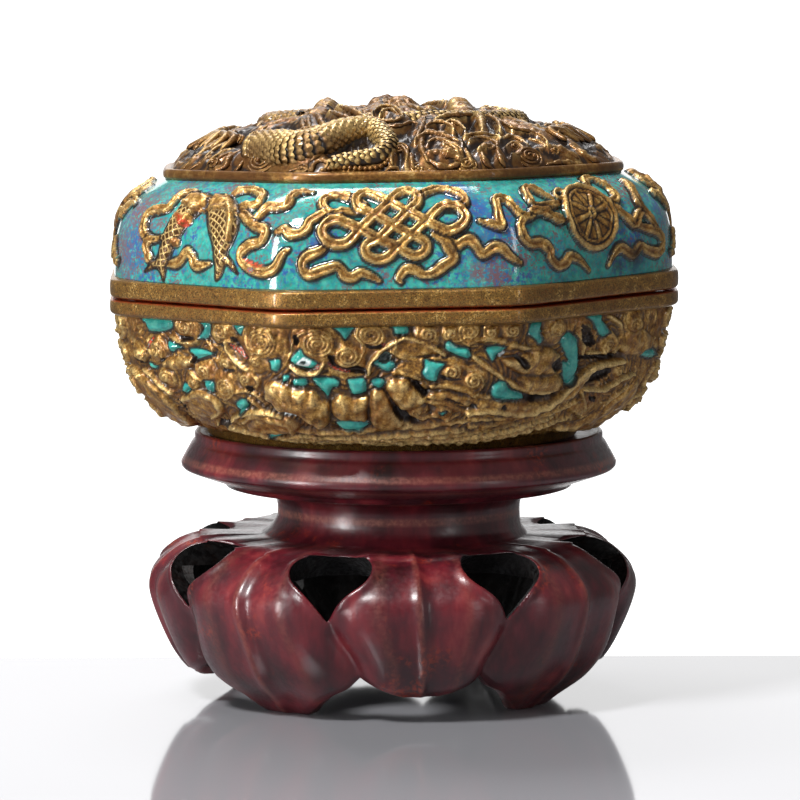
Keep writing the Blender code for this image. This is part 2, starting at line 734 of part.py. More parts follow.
stand = Solid()
inner = [stand_ring(share, STAND_WALL) for share in (1.0, 0.6, 0.0)]
inner.insert(0, turned_ring(20.0 * UNIT, CEILING))
outer = [stand_ring(share, 0.0) for share in (0.0, 0.2, 0.5, 0.75, 0.92, 1.0)]
stand.loft(inner + outer + [turned_ring(r, z) for r, z in TURNED])
stand.cap(inner[0], (0, 0, CEILING), False)
stand.cap(turned_ring(*TURNED[-1]), (DISH_SHIFT, 0, STAND_SEAT), True)
stand_object = stand.make("stand", (0.13, 0.03, 0.03), 0.35, 0.0)

# Windows: a teardrop, point down, through the wall at every groove of the base

cutter = Solid()
outline = [(0.0, -1.0)]
for n in range(7):
    a = math.radians(-38 + 256 * n / 6)
    outline.append((math.cos(a), 0.22 + 0.78 * math.sin(a)))
for n in range(LOBES):
    a = math.radians(-90 + LOBE_TURN + 360 * (n + 0.5) / LOBES)
    pitch = math.radians(WINDOW_PITCH)
    out = Vector((math.cos(a) * math.cos(pitch), math.sin(a) * math.cos(pitch), math.sin(pitch)))
    side = Vector((-math.sin(a), math.cos(a), 0))
    up = out.cross(side)
    middle = Vector((math.cos(a) * 36.9 * UNIT, math.sin(a) * 36.9 * UNIT, 23.9 * RISE))
    ends = []
    for far in (-11.0 * UNIT, 12.0 * UNIT):
        ends.append([
            tuple(middle + out * far + side * (u * WINDOW_WIDE / 2) + up * (v * WINDOW_TALL / 2))
            for u, v in outline
        ])
    cutter.loft(ends)
    cutter.cap(ends[0], tuple(middle - out * 11.0 * UNIT), False)
    cutter.cap(ends[1], tuple(middle + out * 12.0 * UNIT), True)
cutter_object = cutter.make("cutter", (0.1, 0.1, 0.1), 0.5, 0.0)
cut = stand_object.modifiers.new("windows", "BOOLEAN")
cut.operation = "DIFFERENCE"
cut.solver = "EXACT"
cut.object = cutter_object
bpy.context.view_layer.objects.active = stand_object
bpy.ops.object.modifier_apply(modifier=cut.name)
bpy.data.objects.remove(cutter_object)
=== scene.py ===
import math

import bmesh
import bpy
import numpy as np
from mathutils import Matrix


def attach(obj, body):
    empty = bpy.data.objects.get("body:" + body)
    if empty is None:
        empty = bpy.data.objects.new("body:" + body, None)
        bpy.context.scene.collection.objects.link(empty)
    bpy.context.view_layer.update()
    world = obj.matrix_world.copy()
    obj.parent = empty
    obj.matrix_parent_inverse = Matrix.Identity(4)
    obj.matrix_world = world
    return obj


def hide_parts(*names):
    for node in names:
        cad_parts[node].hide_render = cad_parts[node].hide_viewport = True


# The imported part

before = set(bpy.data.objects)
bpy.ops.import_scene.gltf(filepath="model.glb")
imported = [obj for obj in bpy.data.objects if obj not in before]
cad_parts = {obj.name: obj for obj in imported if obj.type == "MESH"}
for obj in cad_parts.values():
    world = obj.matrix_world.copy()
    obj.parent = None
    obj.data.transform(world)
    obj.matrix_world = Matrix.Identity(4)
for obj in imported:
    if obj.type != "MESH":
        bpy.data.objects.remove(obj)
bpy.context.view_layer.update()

# Stand
# One piece of dark red hardwood. The dish and the neck are turned. The hollow base is carved
# into eight lobes with a sharp ridge each, with a teardrop window in every groove, and four
# of the lobes are drawn down to feet. Stained and polished, with a painted highlight along the
# ridges, and painted near black inside as shade.


def linear(code):
    """A colour written as sRGB hex, as the linear numbers a shader takes."""
    parts = [int(code[i:i + 2], 16) / 255 for i in (1, 3, 5)]
    return tuple(c / 12.92 if c <= 0.04045 else ((c + 0.055) / 1.055) ** 2.4 for c in parts) + (1.0,)


def per_mm(period):
    """The scale of a pattern that repeats every so many millimetres, for coordinates in metres."""
    return 1000.0 / period


class Look:
    """A material, and the one function that adds a node to it."""

    def __init__(self, name):
        self.material = bpy.data.materials.new(name)
        self.material.use_nodes = True
        self.tree = self.material.node_tree
        self.place = self.add("TexCoord", [], "Object")

    def put(self, socket, value):
        """Links or sets one input. Text is a colour, and None leaves the input as it is."""
        if isinstance(value, bpy.types.NodeSocket):
            self.tree.links.new(value, socket)
        elif value is not None:
            socket.default_value = linear(value) if isinstance(value, str) else value

    def add(self, kind, inputs, output=0, stops=(), **settings):
        """Adds a node, with its inputs by name or in their order, and gives one of its outputs."""
        node = self.tree.nodes.new("ShaderNode" + kind)
        for key, value in settings.items():
            setattr(node, key, value)
        for key, value in inputs.items() if isinstance(inputs, dict) else enumerate(inputs):
            self.put(node.inputs[key], value)
        if stops:
            marks = node.color_ramp.elements
            while len(marks) < len(stops):
                marks.new(0.5)
            for mark, (place, code) in zip(marks, stops):
                mark.position, mark.color = place, linear(code)
        return node.outputs[output]

    def finish(self, **values):
        """Sets the surface itself."""
        for key, value in values.items():
            self.put(self.tree.nodes["Principled BSDF"].inputs[key.replace("_", " ")], value)


def rounded(line, times=2):
    """Cuts the corners of an open line, and keeps its ends."""
    line = np.array(line, float)
    for _ in range(times):
        a, b = line[:-1], line[1:]
        cut = np.stack([a * 0.75 + b * 0.25, a * 0.25 + b * 0.75], 1).reshape(-1, line.shape[1])
        line = np.vstack([line[:1], cut[1:-1], line[-1:]])
    return line


def run(line):
    """The length along a line at each of its points."""
    return np.concatenate([[0.0], np.cumsum(np.linalg.norm(np.diff(line, axis=0), axis=1))])


def spread(line, count):
    """The same line with evenly spaced points."""
    line = np.array(line, float)
    far = run(line)
    at = np.linspace(0, far[-1], count)
    return np.stack([np.interp(at, far, line[:, i]) for i in range(line.shape[1])], 1)


def sampled(line, far):
    """The points of a line at these lengths along it."""
    return np.stack([np.interp(far, run(line), line[:, i]) for i in range(line.shape[1])], 1)


def net(rows, columns, first=0, close=False):
    """Quads over rows of points that go round: outward when the rows run upward."""
    i = np.arange(rows if close else rows - 1)[:, None]
    j = np.arange(columns)[None, :]
    here, up, on = i * columns, (i + 1) % rows * columns, (j + 1) % columns
    return first + np.stack([here + j, here + on, up + on, up + j], -1).reshape(-1, 4)


def fan(first, columns, tip, up):
    """Triangles between a row of points and one tip, over it or under it."""
    j = np.arange(columns)
    on = (j + 1) % columns
    ends = np.full(columns, tip)
    return np.stack([first + j, first + on, ends] if up else [first + on, first + j, ends], -1)


def placed(name, data):
    """An object in the scene, made from its mesh, lamp or lens."""
    made = bpy.data.objects.new(name, data)
    bpy.context.scene.collection.objects.link(made)
    return made


def make(name, points, quads, triangles, layers, materials):
    """A mesh object from points in millimetres, with a value for every point in each layer."""
    mesh = bpy.data.meshes.new(name)
    corners = np.concatenate([np.ravel(quads), np.ravel(triangles)]).astype(np.int32)
    starts = np.concatenate([np.arange(len(quads)) * 4, len(quads) * 4 + np.arange(len(triangles)) * 3])
    mesh.vertices.add(len(points))
    mesh.vertices.foreach_set("co", (np.asarray(points, np.float32) / 1000).ravel())
    mesh.loops.add(len(corners))
    mesh.loops.foreach_set("vertex_index", corners)
    mesh.polygons.add(len(starts))
    mesh.polygons.foreach_set("loop_start", starts.astype(np.int32))
    mesh.update(calc_edges=True)
    for key, values in layers.items():
        layer = mesh.attributes.new(key, "FLOAT", "POINT")
        layer.data.foreach_set("value", np.ravel(values).astype(np.float32))
    for material in materials:
        mesh.materials.append(material)
    mesh.polygons.foreach_set("use_smooth", [True] * len(starts))
    return placed(name, mesh)


def capped(name, rows, low, high, layers, materials):
    """A closed mesh from rows of points, with a tip within its first row and one within its last."""
    count, columns = rows.shape[:2]
    points = np.vstack([rows.reshape(-1, 3), [low], [high]])
    tips = np.vstack([fan(0, columns, len(points) - 2, False),
                      fan((count - 1) * columns, columns, len(points) - 1, True)])
    layers = {key: np.append(np.ravel(values), (0, 0)) for key, values in layers.items()}
    return make(name, points, net(count, columns), tips, layers, materials)


def smooth_step(x):
    """A soft rise from 0 to 1."""
    x = np.clip(x, 0, 1)
    return x * x * (3 - 2 * x)


LOBES = 8
LOBE_TURN = 5.3
FOOT_LOBES = (1, 3, 5, 7)
STAND_WALL = 4.6
CEILING = 24.2
DISH_SHIFT = 1.1
WINDOW_WIDE, WINDOW_TALL, WINDOW_PITCH = 14.6, 14.0, math.radians(32)
WINDOW_RADIUS, WINDOW_HEIGHT = 36.9, 23.9
SHOULDER = 29.2
OUTER = rounded([(31.9, 0.0), (34.0, 2.6), (36.7, 4.6), (39.4, 7.7), (41.4, 11.6), (43.4, 16.6),
                 (44.2, 20.1), (43.4, 23.0), (40.8, 25.8), (36.8, 28.3), (31.0, SHOULDER)])
TURNED = rounded([(23.9, 28.9), (21.7, 31.0), (21.6, 34.8), (22.6, 36.2), (23.0, 36.4), (30.6, 37.5),
                  (30.9, 37.6), (31.0, 38.2), (31.4, 38.4), (38.2, 40.7), (38.6, 41.0), (38.9, 41.5),
                  (38.8, 42.0), (37.0, 45.2), (36.9, 45.5), (36.4, 45.7), (36.4, 46.0), (36.4, 47.3),
                  (36.2, 47.5), (35.3, 47.5), (35.1, 47.4), (34.9, 46.6), (33.0, 46.55)], 1)
LOBE_COLUMNS, TURNED_ROWS = 60, 62
STAND_COLUMNS = LOBES * LOBE_COLUMNS


def lobe_dent(phase):
    """How far the wall falls in from the full radius, from one groove over the ridge to the next."""
    known = ((-1.0, 3.6), (-0.95, 3.1), (-0.88, 2.2), (-0.76, 1.2), (-0.6, 0.6), (-0.42, 0.4), (-0.2, 0.75),
             (-0.07, 0.75), (0.0, 0.0), (0.04, 0.85), (0.12, 1.3), (0.28, 0.9), (0.5, 0.4), (0.66, 0.65),
             (0.78, 1.2), (0.89, 2.2), (0.95, 3.1), (1.0, 3.6))
    return np.interp(phase, *np.array(known).T)


def bottom_edge(phase, lobe):
    """How high the wall's lower edge is: the feet reach the table, and the edge sweeps up between them."""
    foot = np.interp(abs(phase), (0.0, 0.28, 0.36, 0.5, 0.69, 0.86, 1.0), (0.0, 0.0, 0.5, 2.2, 4.3, 5.6, 7.8))
    plain = np.interp(abs(phase), (0.0, 0.3, 0.5, 0.66, 0.84, 1.0), (4.3, 4.4, 5.1, 5.9, 6.9, 7.8))
    return np.where(np.isin(lobe, FOOT_LOBES), foot, plain)


turn = np.arange(STAND_COLUMNS) / LOBE_COLUMNS
lobe = np.round(turn).astype(int)
phase = 2 * (turn - lobe)
stand_angle = np.radians(-90 + LOBE_TURN + 45 * turn)
plain_lobe = ~np.isin(lobe % LOBES, FOOT_LOBES)
edge = bottom_edge(phase, lobe % LOBES)
ridge_soft = np.convolve(np.tile(lobe_dent(phase), 3), np.ones(3) / 3, "same")
ridge_soft = ridge_soft[STAND_COLUMNS:2 * STAND_COLUMNS]


def swept_angle(z):
    """The angle of every column at its height: the plain lobes draw in and lean over lower down."""
    half = 0.5 - 0.115 * smooth_step((18.0 - z) / 10.0)
    reach = np.where(plain_lobe, half, 1.0 - half)
    return np.radians(-90 + LOBE_TURN + 45 * (lobe + phase * reach) + 1.6 * smooth_step((23.0 - z) / 15.0))


def base_row(share, inset, lift=0.0):
    """A row of the lobed wall: share runs from the bottom edge to the shoulder, or the ceiling inside."""
    inside = inset > 1.5
    high = CEILING if inside else SHOULDER
    z = edge + (high - edge) * share
    fade = 1.0 if inside else 1.0 - 0.4 * max(0.0, share - 0.8) / 0.2
    look = np.minimum(z, 20.0 if inside else 28.6)
    r = np.interp(look, OUTER[:, 1], OUTER[:, 0])
    if share == 1.0 and not inside:
        r = np.full_like(r, 31.0)
    r = r - ridge_soft * fade - inset
    angle = swept_angle(z)
    sunk = 0.0 if inside else 0.5 * np.minimum(ridge_soft, 1.6) * smooth_step((share - 0.66) / 0.2)
    return np.stack([r * np.cos(angle), r * np.sin(angle), z + lift - sunk], -1)


def round_row(r, z, shift=0.0):
    """A plain round row. The dish stands a little to the right of the base's middle."""
    return np.stack([r * np.cos(stand_angle) + shift, r * np.sin(stand_angle), np.full(STAND_COLUMNS, z)], -1)


rows = [round_row(20.0, CEILING)]
rows += [base_row(share, STAND_WALL * min(1.0, 0.8 + share)) for share in np.linspace(1, 0.06, 34)]
rows += [base_row(0.0, STAND_WALL * 0.8 - shy, lift) for shy, lift in ((0.1, 0.7), (0.5, 0.15), (1.0, 0.0))]
inner_rows = len(rows) - 2
rows += [base_row(0.0, inset, lift) for inset, lift in ((1.0, 0.0), (0.4, 0.12), (0.1, 0.5))]
rows += [base_row(share, 0.0) for share in np.linspace(0.04, 1.0, 78)]
rows += [round_row(r, z, DISH_SHIFT * min(1.0, max(0.0, (z - 28.0) / 4.0)))
         for r, z in spread(TURNED, TURNED_ROWS)]
rows = np.array(rows)

# The wood curls up a little round every window, and a painted highlight lies along the ridges.
outline = [(0.0, -1.0)]
for n in range(29):
    a = math.radians(-38 + 256 * n / 28)
    outline.append((math.cos(a), 0.22 + 0.78 * math.sin(a)))
outline = np.array(outline) * (WINDOW_WIDE / 2, WINDOW_TALL / 2)


def to_outline(u, v, line):
    """Signed distance to a closed outline in millimetres: positive outside."""
    a, b = line, np.roll(line, -1, 0)
    best = np.full(u.shape, 1e9)
    odd = np.zeros(u.shape, bool)
    for (ax, ay), (bx, by) in zip(a, b):
        dx, dy = bx - ax, by - ay
        t = np.clip(((u - ax) * dx + (v - ay) * dy) / (dx * dx + dy * dy + 1e-12), 0, 1)
        best = np.minimum(best, np.hypot(u - ax - t * dx, v - ay - t * dy))
        if ay != by:
            odd ^= ((ay > v) != (by > v)) & (u < ax + (v - ay) * dx / dy)
    return np.where(odd, -best, best)


curl = np.zeros(rows.shape[:2])
frames = []
for n in range(LOBES):
    a = math.radians(-90 + LOBE_TURN + 45 * (n + 0.5))
    radial = np.array((math.cos(a), math.sin(a), 0.0))
    out = radial * math.cos(WINDOW_PITCH) + (0, 0, math.sin(WINDOW_PITCH))
    side = np.array((-math.sin(a), math.cos(a), 0.0))
    up = np.cross(out, side)
    middle = radial * WINDOW_RADIUS + (0, 0, WINDOW_HEIGHT)
    frames.append((middle, out, side, up))
    near = ((rows - middle) @ out > -3.0) & (np.linalg.norm(rows - middle, axis=-1) < 14)
    at = rows[near] - middle
    gap = to_outline(at @ side, at @ up, outline)
    curl[near] = np.maximum(curl[near], 0.75 * np.exp(-((gap - 0.2) / 0.9) ** 2))
rows += curl[..., None] * round_row(0.85, 0.4)
# Painted highlight: a light line along each lobe's ridge, and on some turned edges of the neck and dish.
ridge = np.zeros(rows.shape[:2])
ridge[:] = np.clip(1.0 - ridge_soft / 0.55, 0, 1)
ridge[-TURNED_ROWS:] = 0.0
for n in (8, 9, 24, 25, 26, 37, 38, 45, 46):
    ridge[n - TURNED_ROWS] = 0.7

# Polished rosewood: streaks of dark red along the grain, clouded with near black, a little orange
# where the stain is rubbed through, a painted highlight along the ridges, and a soft lacquer gloss
# that the fine grain breaks up.
wood = Look("polished_rosewood")
add = wood.add
grain_place = add("Mapping", {"Vector": wood.place, "Scale": (1.0, 1.0, 0.25)})
grain, fine, blot, rubbed, pores = (
    add("TexNoise", [place, None, per_mm(period), detail, rough]) for place, period, detail, rough in (
        (grain_place, 7.0, 4, 0.6), (wood.place, 0.8, 3, 0.6), (wood.place, 13.0, 3, 0.55),
        (wood.place, 11.0, 4, 0.7), (wood.place, 1.1, 3, 0.6)))
clouds, rubbed, speckled, ridge_highlight_share, satin = (
    add("MapRange", values, interpolation_type="SMOOTHSTEP") for values in (
        (blot, 0.5, 0.72, 0.0, 0.7), (rubbed, 0.55, 0.72), (fine, 0.42, 0.6), (fine, 0.35, 0.7, 0.25, 0.8),
        (fine, 0.3, 0.8, 0.3, 0.46)))
worn = add("Math", [rubbed, speckled], operation="MULTIPLY")
on_ridge = add("Attribute", [], "Fac", attribute_name="ridge")
tone = add("ValToRGB", [grain], stops=[
    (0.3, "#26080C"), (0.46, "#461019"), (0.6, "#641A22"), (0.74, "#823030"),
])
for share, code in (
    (clouds, "#2A171D"),
    (add("Math", [worn, 0.65], operation="MULTIPLY"), "#9A3216"),
    # Painted highlight along the lobes' ridges and some turned edges, broken up by fine noise.
    (add("Math", [on_ridge, ridge_highlight_share], operation="MULTIPLY"), "#A0604E"),
):
    tone = add("Mix", {0: share, 6: tone, 7: code}, 2, data_type="RGBA")
wood.finish(Base_Color=tone, Roughness=satin, Coat_Weight=0.3, Coat_Roughness=0.22,
            Normal=add("Bump", {"Height": pores, "Strength": 0.3, "Distance": 0.00012}))

# The same wood inside the base and on the window walls, coloured near black as painted shade:
# matt, with shallow tool marks.
inside_shade_wood = Look("inside_wood_painted_shade")
add = inside_shade_wood.add
stain, fine, marks = (add("TexNoise", [inside_shade_wood.place, None, per_mm(period), detail, rough])
                      for period, detail, rough in ((3.0, 4, 0.65), (0.9, 3, 0.6), (1.6, 3, 0.6)))
painted_inside_shade = add("ValToRGB", [stain], stops=[(0.4, "#060404"), (0.62, "#120B0A"), (0.75, "#2A1A14")])
dull = add("MapRange", [fine, 0.4, 0.6, 0.38, 0.7], interpolation_type="SMOOTHSTEP")
inside_shade_wood.finish(Base_Color=painted_inside_shade, Roughness=dull,
           Normal=add("Bump", {"Height": marks, "Strength": 0.5, "Distance": 0.00025}))

stand = capped("rosewood_stand", rows, (0, 0, CEILING), (DISH_SHIFT, 0, 46.5), {"ridge": ridge},
               [wood.material, inside_shade_wood.material])
wall_faces = (len(rows) - 1) * STAND_COLUMNS
# The inside of the base and its ceiling take the near-black wood of painted shade.
shade = np.zeros(len(stand.data.polygons), np.int32)
shade[:inner_rows * STAND_COLUMNS] = 1
shade[wall_faces:wall_faces + STAND_COLUMNS] = 1
stand.data.polygons.foreach_set("material_index", shade)

# The windows are cut right through the wall.
cuts, cut_faces = [], []
for middle, out, side, up in frames:
    first = len(cuts)
    ring = [side * u + up * v for u, v in outline]
    cuts += [middle + out * -11 + p for p in ring] + [middle + out * 12 + p for p in ring]
    size = len(ring)
    cut_faces += [(first + i, first + (i + 1) % size, first + size + (i + 1) % size, first + size + i)
                  for i in range(size)]
    cut_faces += [tuple(range(first + size - 1, first - 1, -1)), tuple(range(first + size, first + 2 * size))]
cutter_mesh = bpy.data.meshes.new("window_cutter")
cutter_mesh.from_pydata([tuple(p / 1000) for p in cuts], [], cut_faces)
# The walls of the cut windows take the near-black wood of painted shade as well.
cutter_mesh.materials.append(inside_shade_wood.material)
cutter = placed("window_cutter", cutter_mesh)
cut = stand.modifiers.new("windows", "BOOLEAN")
cut.operation = "DIFFERENCE"
cut.solver = "EXACT"
cut.material_mode = "TRANSFER"
cut.object = cutter
bpy.context.view_layer.objects.active = stand
stand.select_set(True)
bpy.ops.object.modifier_apply(modifier=cut.name)
bpy.data.objects.remove(cutter)
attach(stand, "root")
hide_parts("stand")

# Box
# The lower half: a hollow porcelain bowl with a low round foot, its outside moulded with a
# beast's face, curled clouds and waves, gilt all over with small patches of turquoise enamel.
# A plain gilt rim carries the lid, and a low collar on it stands inside the lid.

PANEL_APOTHEM = 48.0
PANEL = 2 * PANEL_APOTHEM * math.tan(math.pi / 8)
AROUND = 8 * PANEL
RIM_SHARPNESS, GLAZE_SHARPNESS = 40, 20
RIM_SLOPE = 0.0155
WEAVE = 1.35


def octagon(angle, sharpness):
    """The radius of a rounded octagon of apothem 1 at this angle."""
    total = sum(np.maximum(0.0, np.cos(angle - math.radians(45 * k - 90))) ** sharpness for k in range(8))
    front = sum(max(0.0, math.cos(math.radians(45 * k))) ** sharpness for k in range(8))
    return (total / front) ** (-1 / sharpness)


def panel_angle(s):
    """The angle round the axis for a length along the panels, 0 at the middle of the front one."""
    k = np.round(s / PANEL)
    return np.radians(45 * k - 90) + np.arctan((s - k * PANEL) / PANEL_APOTHEM)


def around(profile, s, square=1.0, sharpness=GLAZE_SHARPNESS):
    """Rows of points round the axis for a profile of apothems and heights."""
    profile = np.array(profile, float)
    angle = panel_angle(s)
    square = np.broadcast_to(square, len(profile))[:, None]
    r = profile[:, :1] * (1 + square * (octagon(angle, sharpness)[None, :] - 1))
    return np.stack([r * np.cos(angle), r * np.sin(angle), np.broadcast_to(profile[:, 1:], r.shape)], -1)


def dense_front(half, fine, coarse):
    """Lengths along the panels for columns that lie closer on the front of the box."""
    return np.concatenate([np.arange(-half, half, fine), np.arange(half, AROUND - half - coarse / 2, coarse)])


def lean(points):
    """The rims slope up a little to the right of the level foot, and the lip is highest at the front."""
    x, y, z = points[..., 0], points[..., 1], points[..., 2]
    risen = RIM_SLOPE * np.clip((z - 48.9) / 17.06, 0, 1) * x
    tipped = 1.1 * np.clip((z - 80.04) / 14.86, 0, 1) * y / 40.3
    return np.stack([x, y, z + risen - tipped], -1)


def outward(points):
    """Unit normals of rows of points that go round."""
    side = np.roll(points, -1, 1) - np.roll(points, 1, 1)
    up = np.gradient(points, axis=0)
    way = np.cross(side, up)
    return way / np.linalg.norm(way, axis=-1, keepdims=True)


def blurred(values, reach):
    """A mean over neighbours in rows that go round."""
    found = np.zeros_like(values)
    for shift in range(-reach, reach + 1):
        found += np.roll(values, shift, 1)
    values = found / (2 * reach + 1)
    padded = np.pad(values, ((reach, reach), (0, 0)), "edge")
    found = np.zeros_like(values)
    for shift in range(2 * reach + 1):
        found += padded[shift:shift + values.shape[0]]
    return found / (2 * reach + 1)


def curve(points, closed=False, step=0.12):
    """A smooth path through points, with each sample's place counted in points."""
    p = np.array(points, float)
    if closed:
        p = np.vstack([p[-1:], p, p[:2]])
    else:
        p = np.vstack([2 * p[:1] - p[1:2], p, 2 * p[-1:] - p[-2:-1]])
    found, spots = [], []
    for i in range(1, len(p) - 2):
        many = max(2, int(np.hypot(*(p[i + 1] - p[i])) / step))
        t = np.arange(many)[:, None] / many
        a, b, c, d = p[i - 1], p[i], p[i + 1], p[i + 2]
        found.append(0.5 * (2 * b + (c - a) * t + (2 * a - 5 * b + 4 * c - d) * t ** 2
                            + (3 * b - a - 3 * c + d) * t ** 3))
        spots.append(i - 1 + t[:, 0])
    found.append(p[-2:-1])
    spots.append(np.array([len(p) - 3.0]))
    return np.vstack(found), np.concatenate(spots)


def ribbon(x, far):
    """A flat strap with raised borders."""
    return smooth_step((1 - abs(x)) / 0.4) * (1 - 0.5 * np.exp(-(x / 0.3) ** 2))


def cord(x, far):
    """A round strand."""
    return np.sqrt(np.clip(1 - x * x, 0, 1))


def blade(x, far):
    """A sharp ridge."""
    return 1 - abs(x)


def swell(x, far):
    """A soft rise with no edge."""
    return np.clip(1 - x * x, 0, 1) ** 1.2


class Relief:
    """Carving laid out flat in millimetres: a height, and layers of colour, for every point."""

    def __init__(self, x, y, period, layers):
        self.x, self.y, self.period = np.ravel(x), np.ravel(y), period
        self.lift = np.zeros(self.x.size)
        self.layers = {name: np.zeros(self.x.size) for name in layers}

    def near(self, path, reach):
        """The points within reach of a path's box, and where they lie as seen from the path."""
        middle = path.mean(0)
        x = self.x
        if self.period:
            x = (x - middle[0] + self.period / 2) % self.period - self.period / 2 + middle[0]
        low, high = path.min(0) - reach, path.max(0) + reach
        at = np.nonzero((x > low[0]) & (x < high[0]) & (self.y > low[1]) & (self.y < high[1]))[0]
        return at, x[at], self.y[at]

    def trace(self, points, reach, closed=False):
        """The points near a path: their nearest sample, gap, side, and place along the path."""
        path, spots = curve(points, closed)
        at, x, y = self.near(path, reach)
        nearest = np.zeros(len(at), int)
        for first in range(0, len(at), 4000):
            part = slice(first, first + 4000)
            gaps = (x[part, None] - path[None, :, 0]) ** 2 + (y[part, None] - path[None, :, 1]) ** 2
            nearest[part] = gaps.argmin(1)
        way = np.gradient(path, axis=0)
        dx, dy = x - path[nearest, 0], y - path[nearest, 1]
        gap = np.hypot(dx, dy)
        side = np.sign(way[nearest, 0] * dy - way[nearest, 1] * dx)
        return at, gap, side, run(path)[nearest], spots[nearest]

    def stroke(self, points, half, rise, form=ribbon, closed=False, paint=("gold",), ring=0.3, over=False):
        """Raises a strap along a path. Half and rise are numbers, or one number for each point."""
        half, rise = np.atleast_1d(np.array(half, float)), np.atleast_1d(np.array(rise, float))
        at, gap, side, far, spot = self.trace(points, half.max() + 3 * ring, closed)
        if not len(at):
            return
        total = len(points) - (0 if closed else 1)
        half = np.interp(spot, np.linspace(0, total, len(half)), half)
        rise = np.interp(spot, np.linspace(0, total, len(rise)), rise)
        x = gap / half
        base = self.lift[at] if over else 0.0
        tall = np.where(x < 1, base + rise * form(np.clip(x, 0, 1) * side, far), -1.0)
        wins = tall > self.lift[at]
        self.lift[at[wins]] = tall[wins]
        for name in self.layers:
            if name in paint:
                self.layers[name][at[wins]] = np.maximum(self.layers[name][at[wins]],
                                                         smooth_step((half - gap)[wins] / 0.16 + 0.5))
            elif name != "line":
                self.layers[name][at[wins]] *= 1 - smooth_step((half - gap)[wins] / 0.16 + 0.5)
        # Painted shade: a dark ring round the strap, where it stands over what lies beside it.
        dark = np.exp(-((gap - half - 0.1) / ring) ** 2) * (rise > self.lift[at] - 0.05)
        dark = np.maximum(self.layers["line"][at], dark)
        self.layers["line"][at] = np.where(wins & (gap < half - 0.12), 0.0, dark)

    def mound(self, points, rise, soft):
        """Raises a plump form inside a closed outline, with painted shade in a dark crease round it."""
        path = curve(points, True, 0.3)[0]
        at, x, y = self.near(path, 1.0)
        gap = to_outline(x, y, path)
        tall = rise * np.sqrt(1 - (1 - np.clip(-gap / soft, 0, 1)) ** 2)
        wins = (gap < 0) & (tall > self.lift[at] * smooth_step(1 + gap / 0.5))
        self.lift[at[wins]] = tall[wins]
        # Painted shade in a dark crease round the form.
        dark = np.maximum(self.layers["line"][at], 0.8 * np.exp(-((gap - 0.1) / 0.22) ** 2))
        self.layers["line"][at] = np.where(wins & (gap < -0.4), 0.0, dark)

    def patch(self, points, rise, paint, soft=0.5, ring=0.35, closed_curve=True, dark=1.0):
        """Raises or sinks what lies inside a closed outline, and paints it."""
        path = curve(points, True, 0.3)[0] if closed_curve else np.array(points, float)
        at, x, y = self.near(path, 3 * ring)
        gap = to_outline(x, y, path)
        inside = smooth_step(-gap / 0.16 + 0.5)
        if "glaze" in paint and (gap < -0.2).any():
            even = smooth_step(-gap / 0.3)
            self.lift[at] += even * (np.median(self.lift[at[gap < -0.2]]) - self.lift[at])
        self.lift[at] += rise * smooth_step(-gap / soft)
        for name in self.layers:
            if name in paint:
                self.layers[name][at] = np.maximum(self.layers[name][at], inside)
            elif name == "line":
                edge = dark * np.exp(-(gap / ring) ** 2)
                self.layers[name][at] = np.maximum(self.layers[name][at] * (1 - inside), edge)
            else:
                self.layers[name][at] *= 1 - inside


def spiral(x, y, radius, start=0.0, turns=1.6, squash=1.0, tail=False):
    """A curl that winds in to its middle, with a tail that flows into it."""
    found = []
    for step, far in ((-1.9, 2.3), (-1.3, 1.75), (-0.65, 1.3)) if tail else ():
        a = math.radians(start) + step * (1 if turns > 0 else -1)
        found.append((x + far * radius * math.cos(a), y + squash * far * radius * math.sin(a)))
    many = int(10 * abs(turns)) + 2
    for i in range(many):
        t = i / (many - 1)
        a = math.radians(start) + 2 * math.pi * turns * t
        r = radius * (1 - 0.88 * t)
        found.append((x + r * math.cos(a), y + squash * r * math.sin(a)))
    return found


def worked(x, y, size, around, seed):
    """The small unevenness of pressed and worn clay, the same at both ends of the way round."""
    chance = np.random.default_rng(seed)
    total = np.zeros(np.shape(x))
    for _ in range(36):
        long, way = chance.uniform(1.1, 3.4), chance.uniform(0, math.pi)
        turns = round(around * math.cos(way) / long)
        far = turns * x / around + math.sin(way) * y / long
        total += np.cos(2 * math.pi * far + chance.uniform(0, 6.3))
    return size * total / 4.2


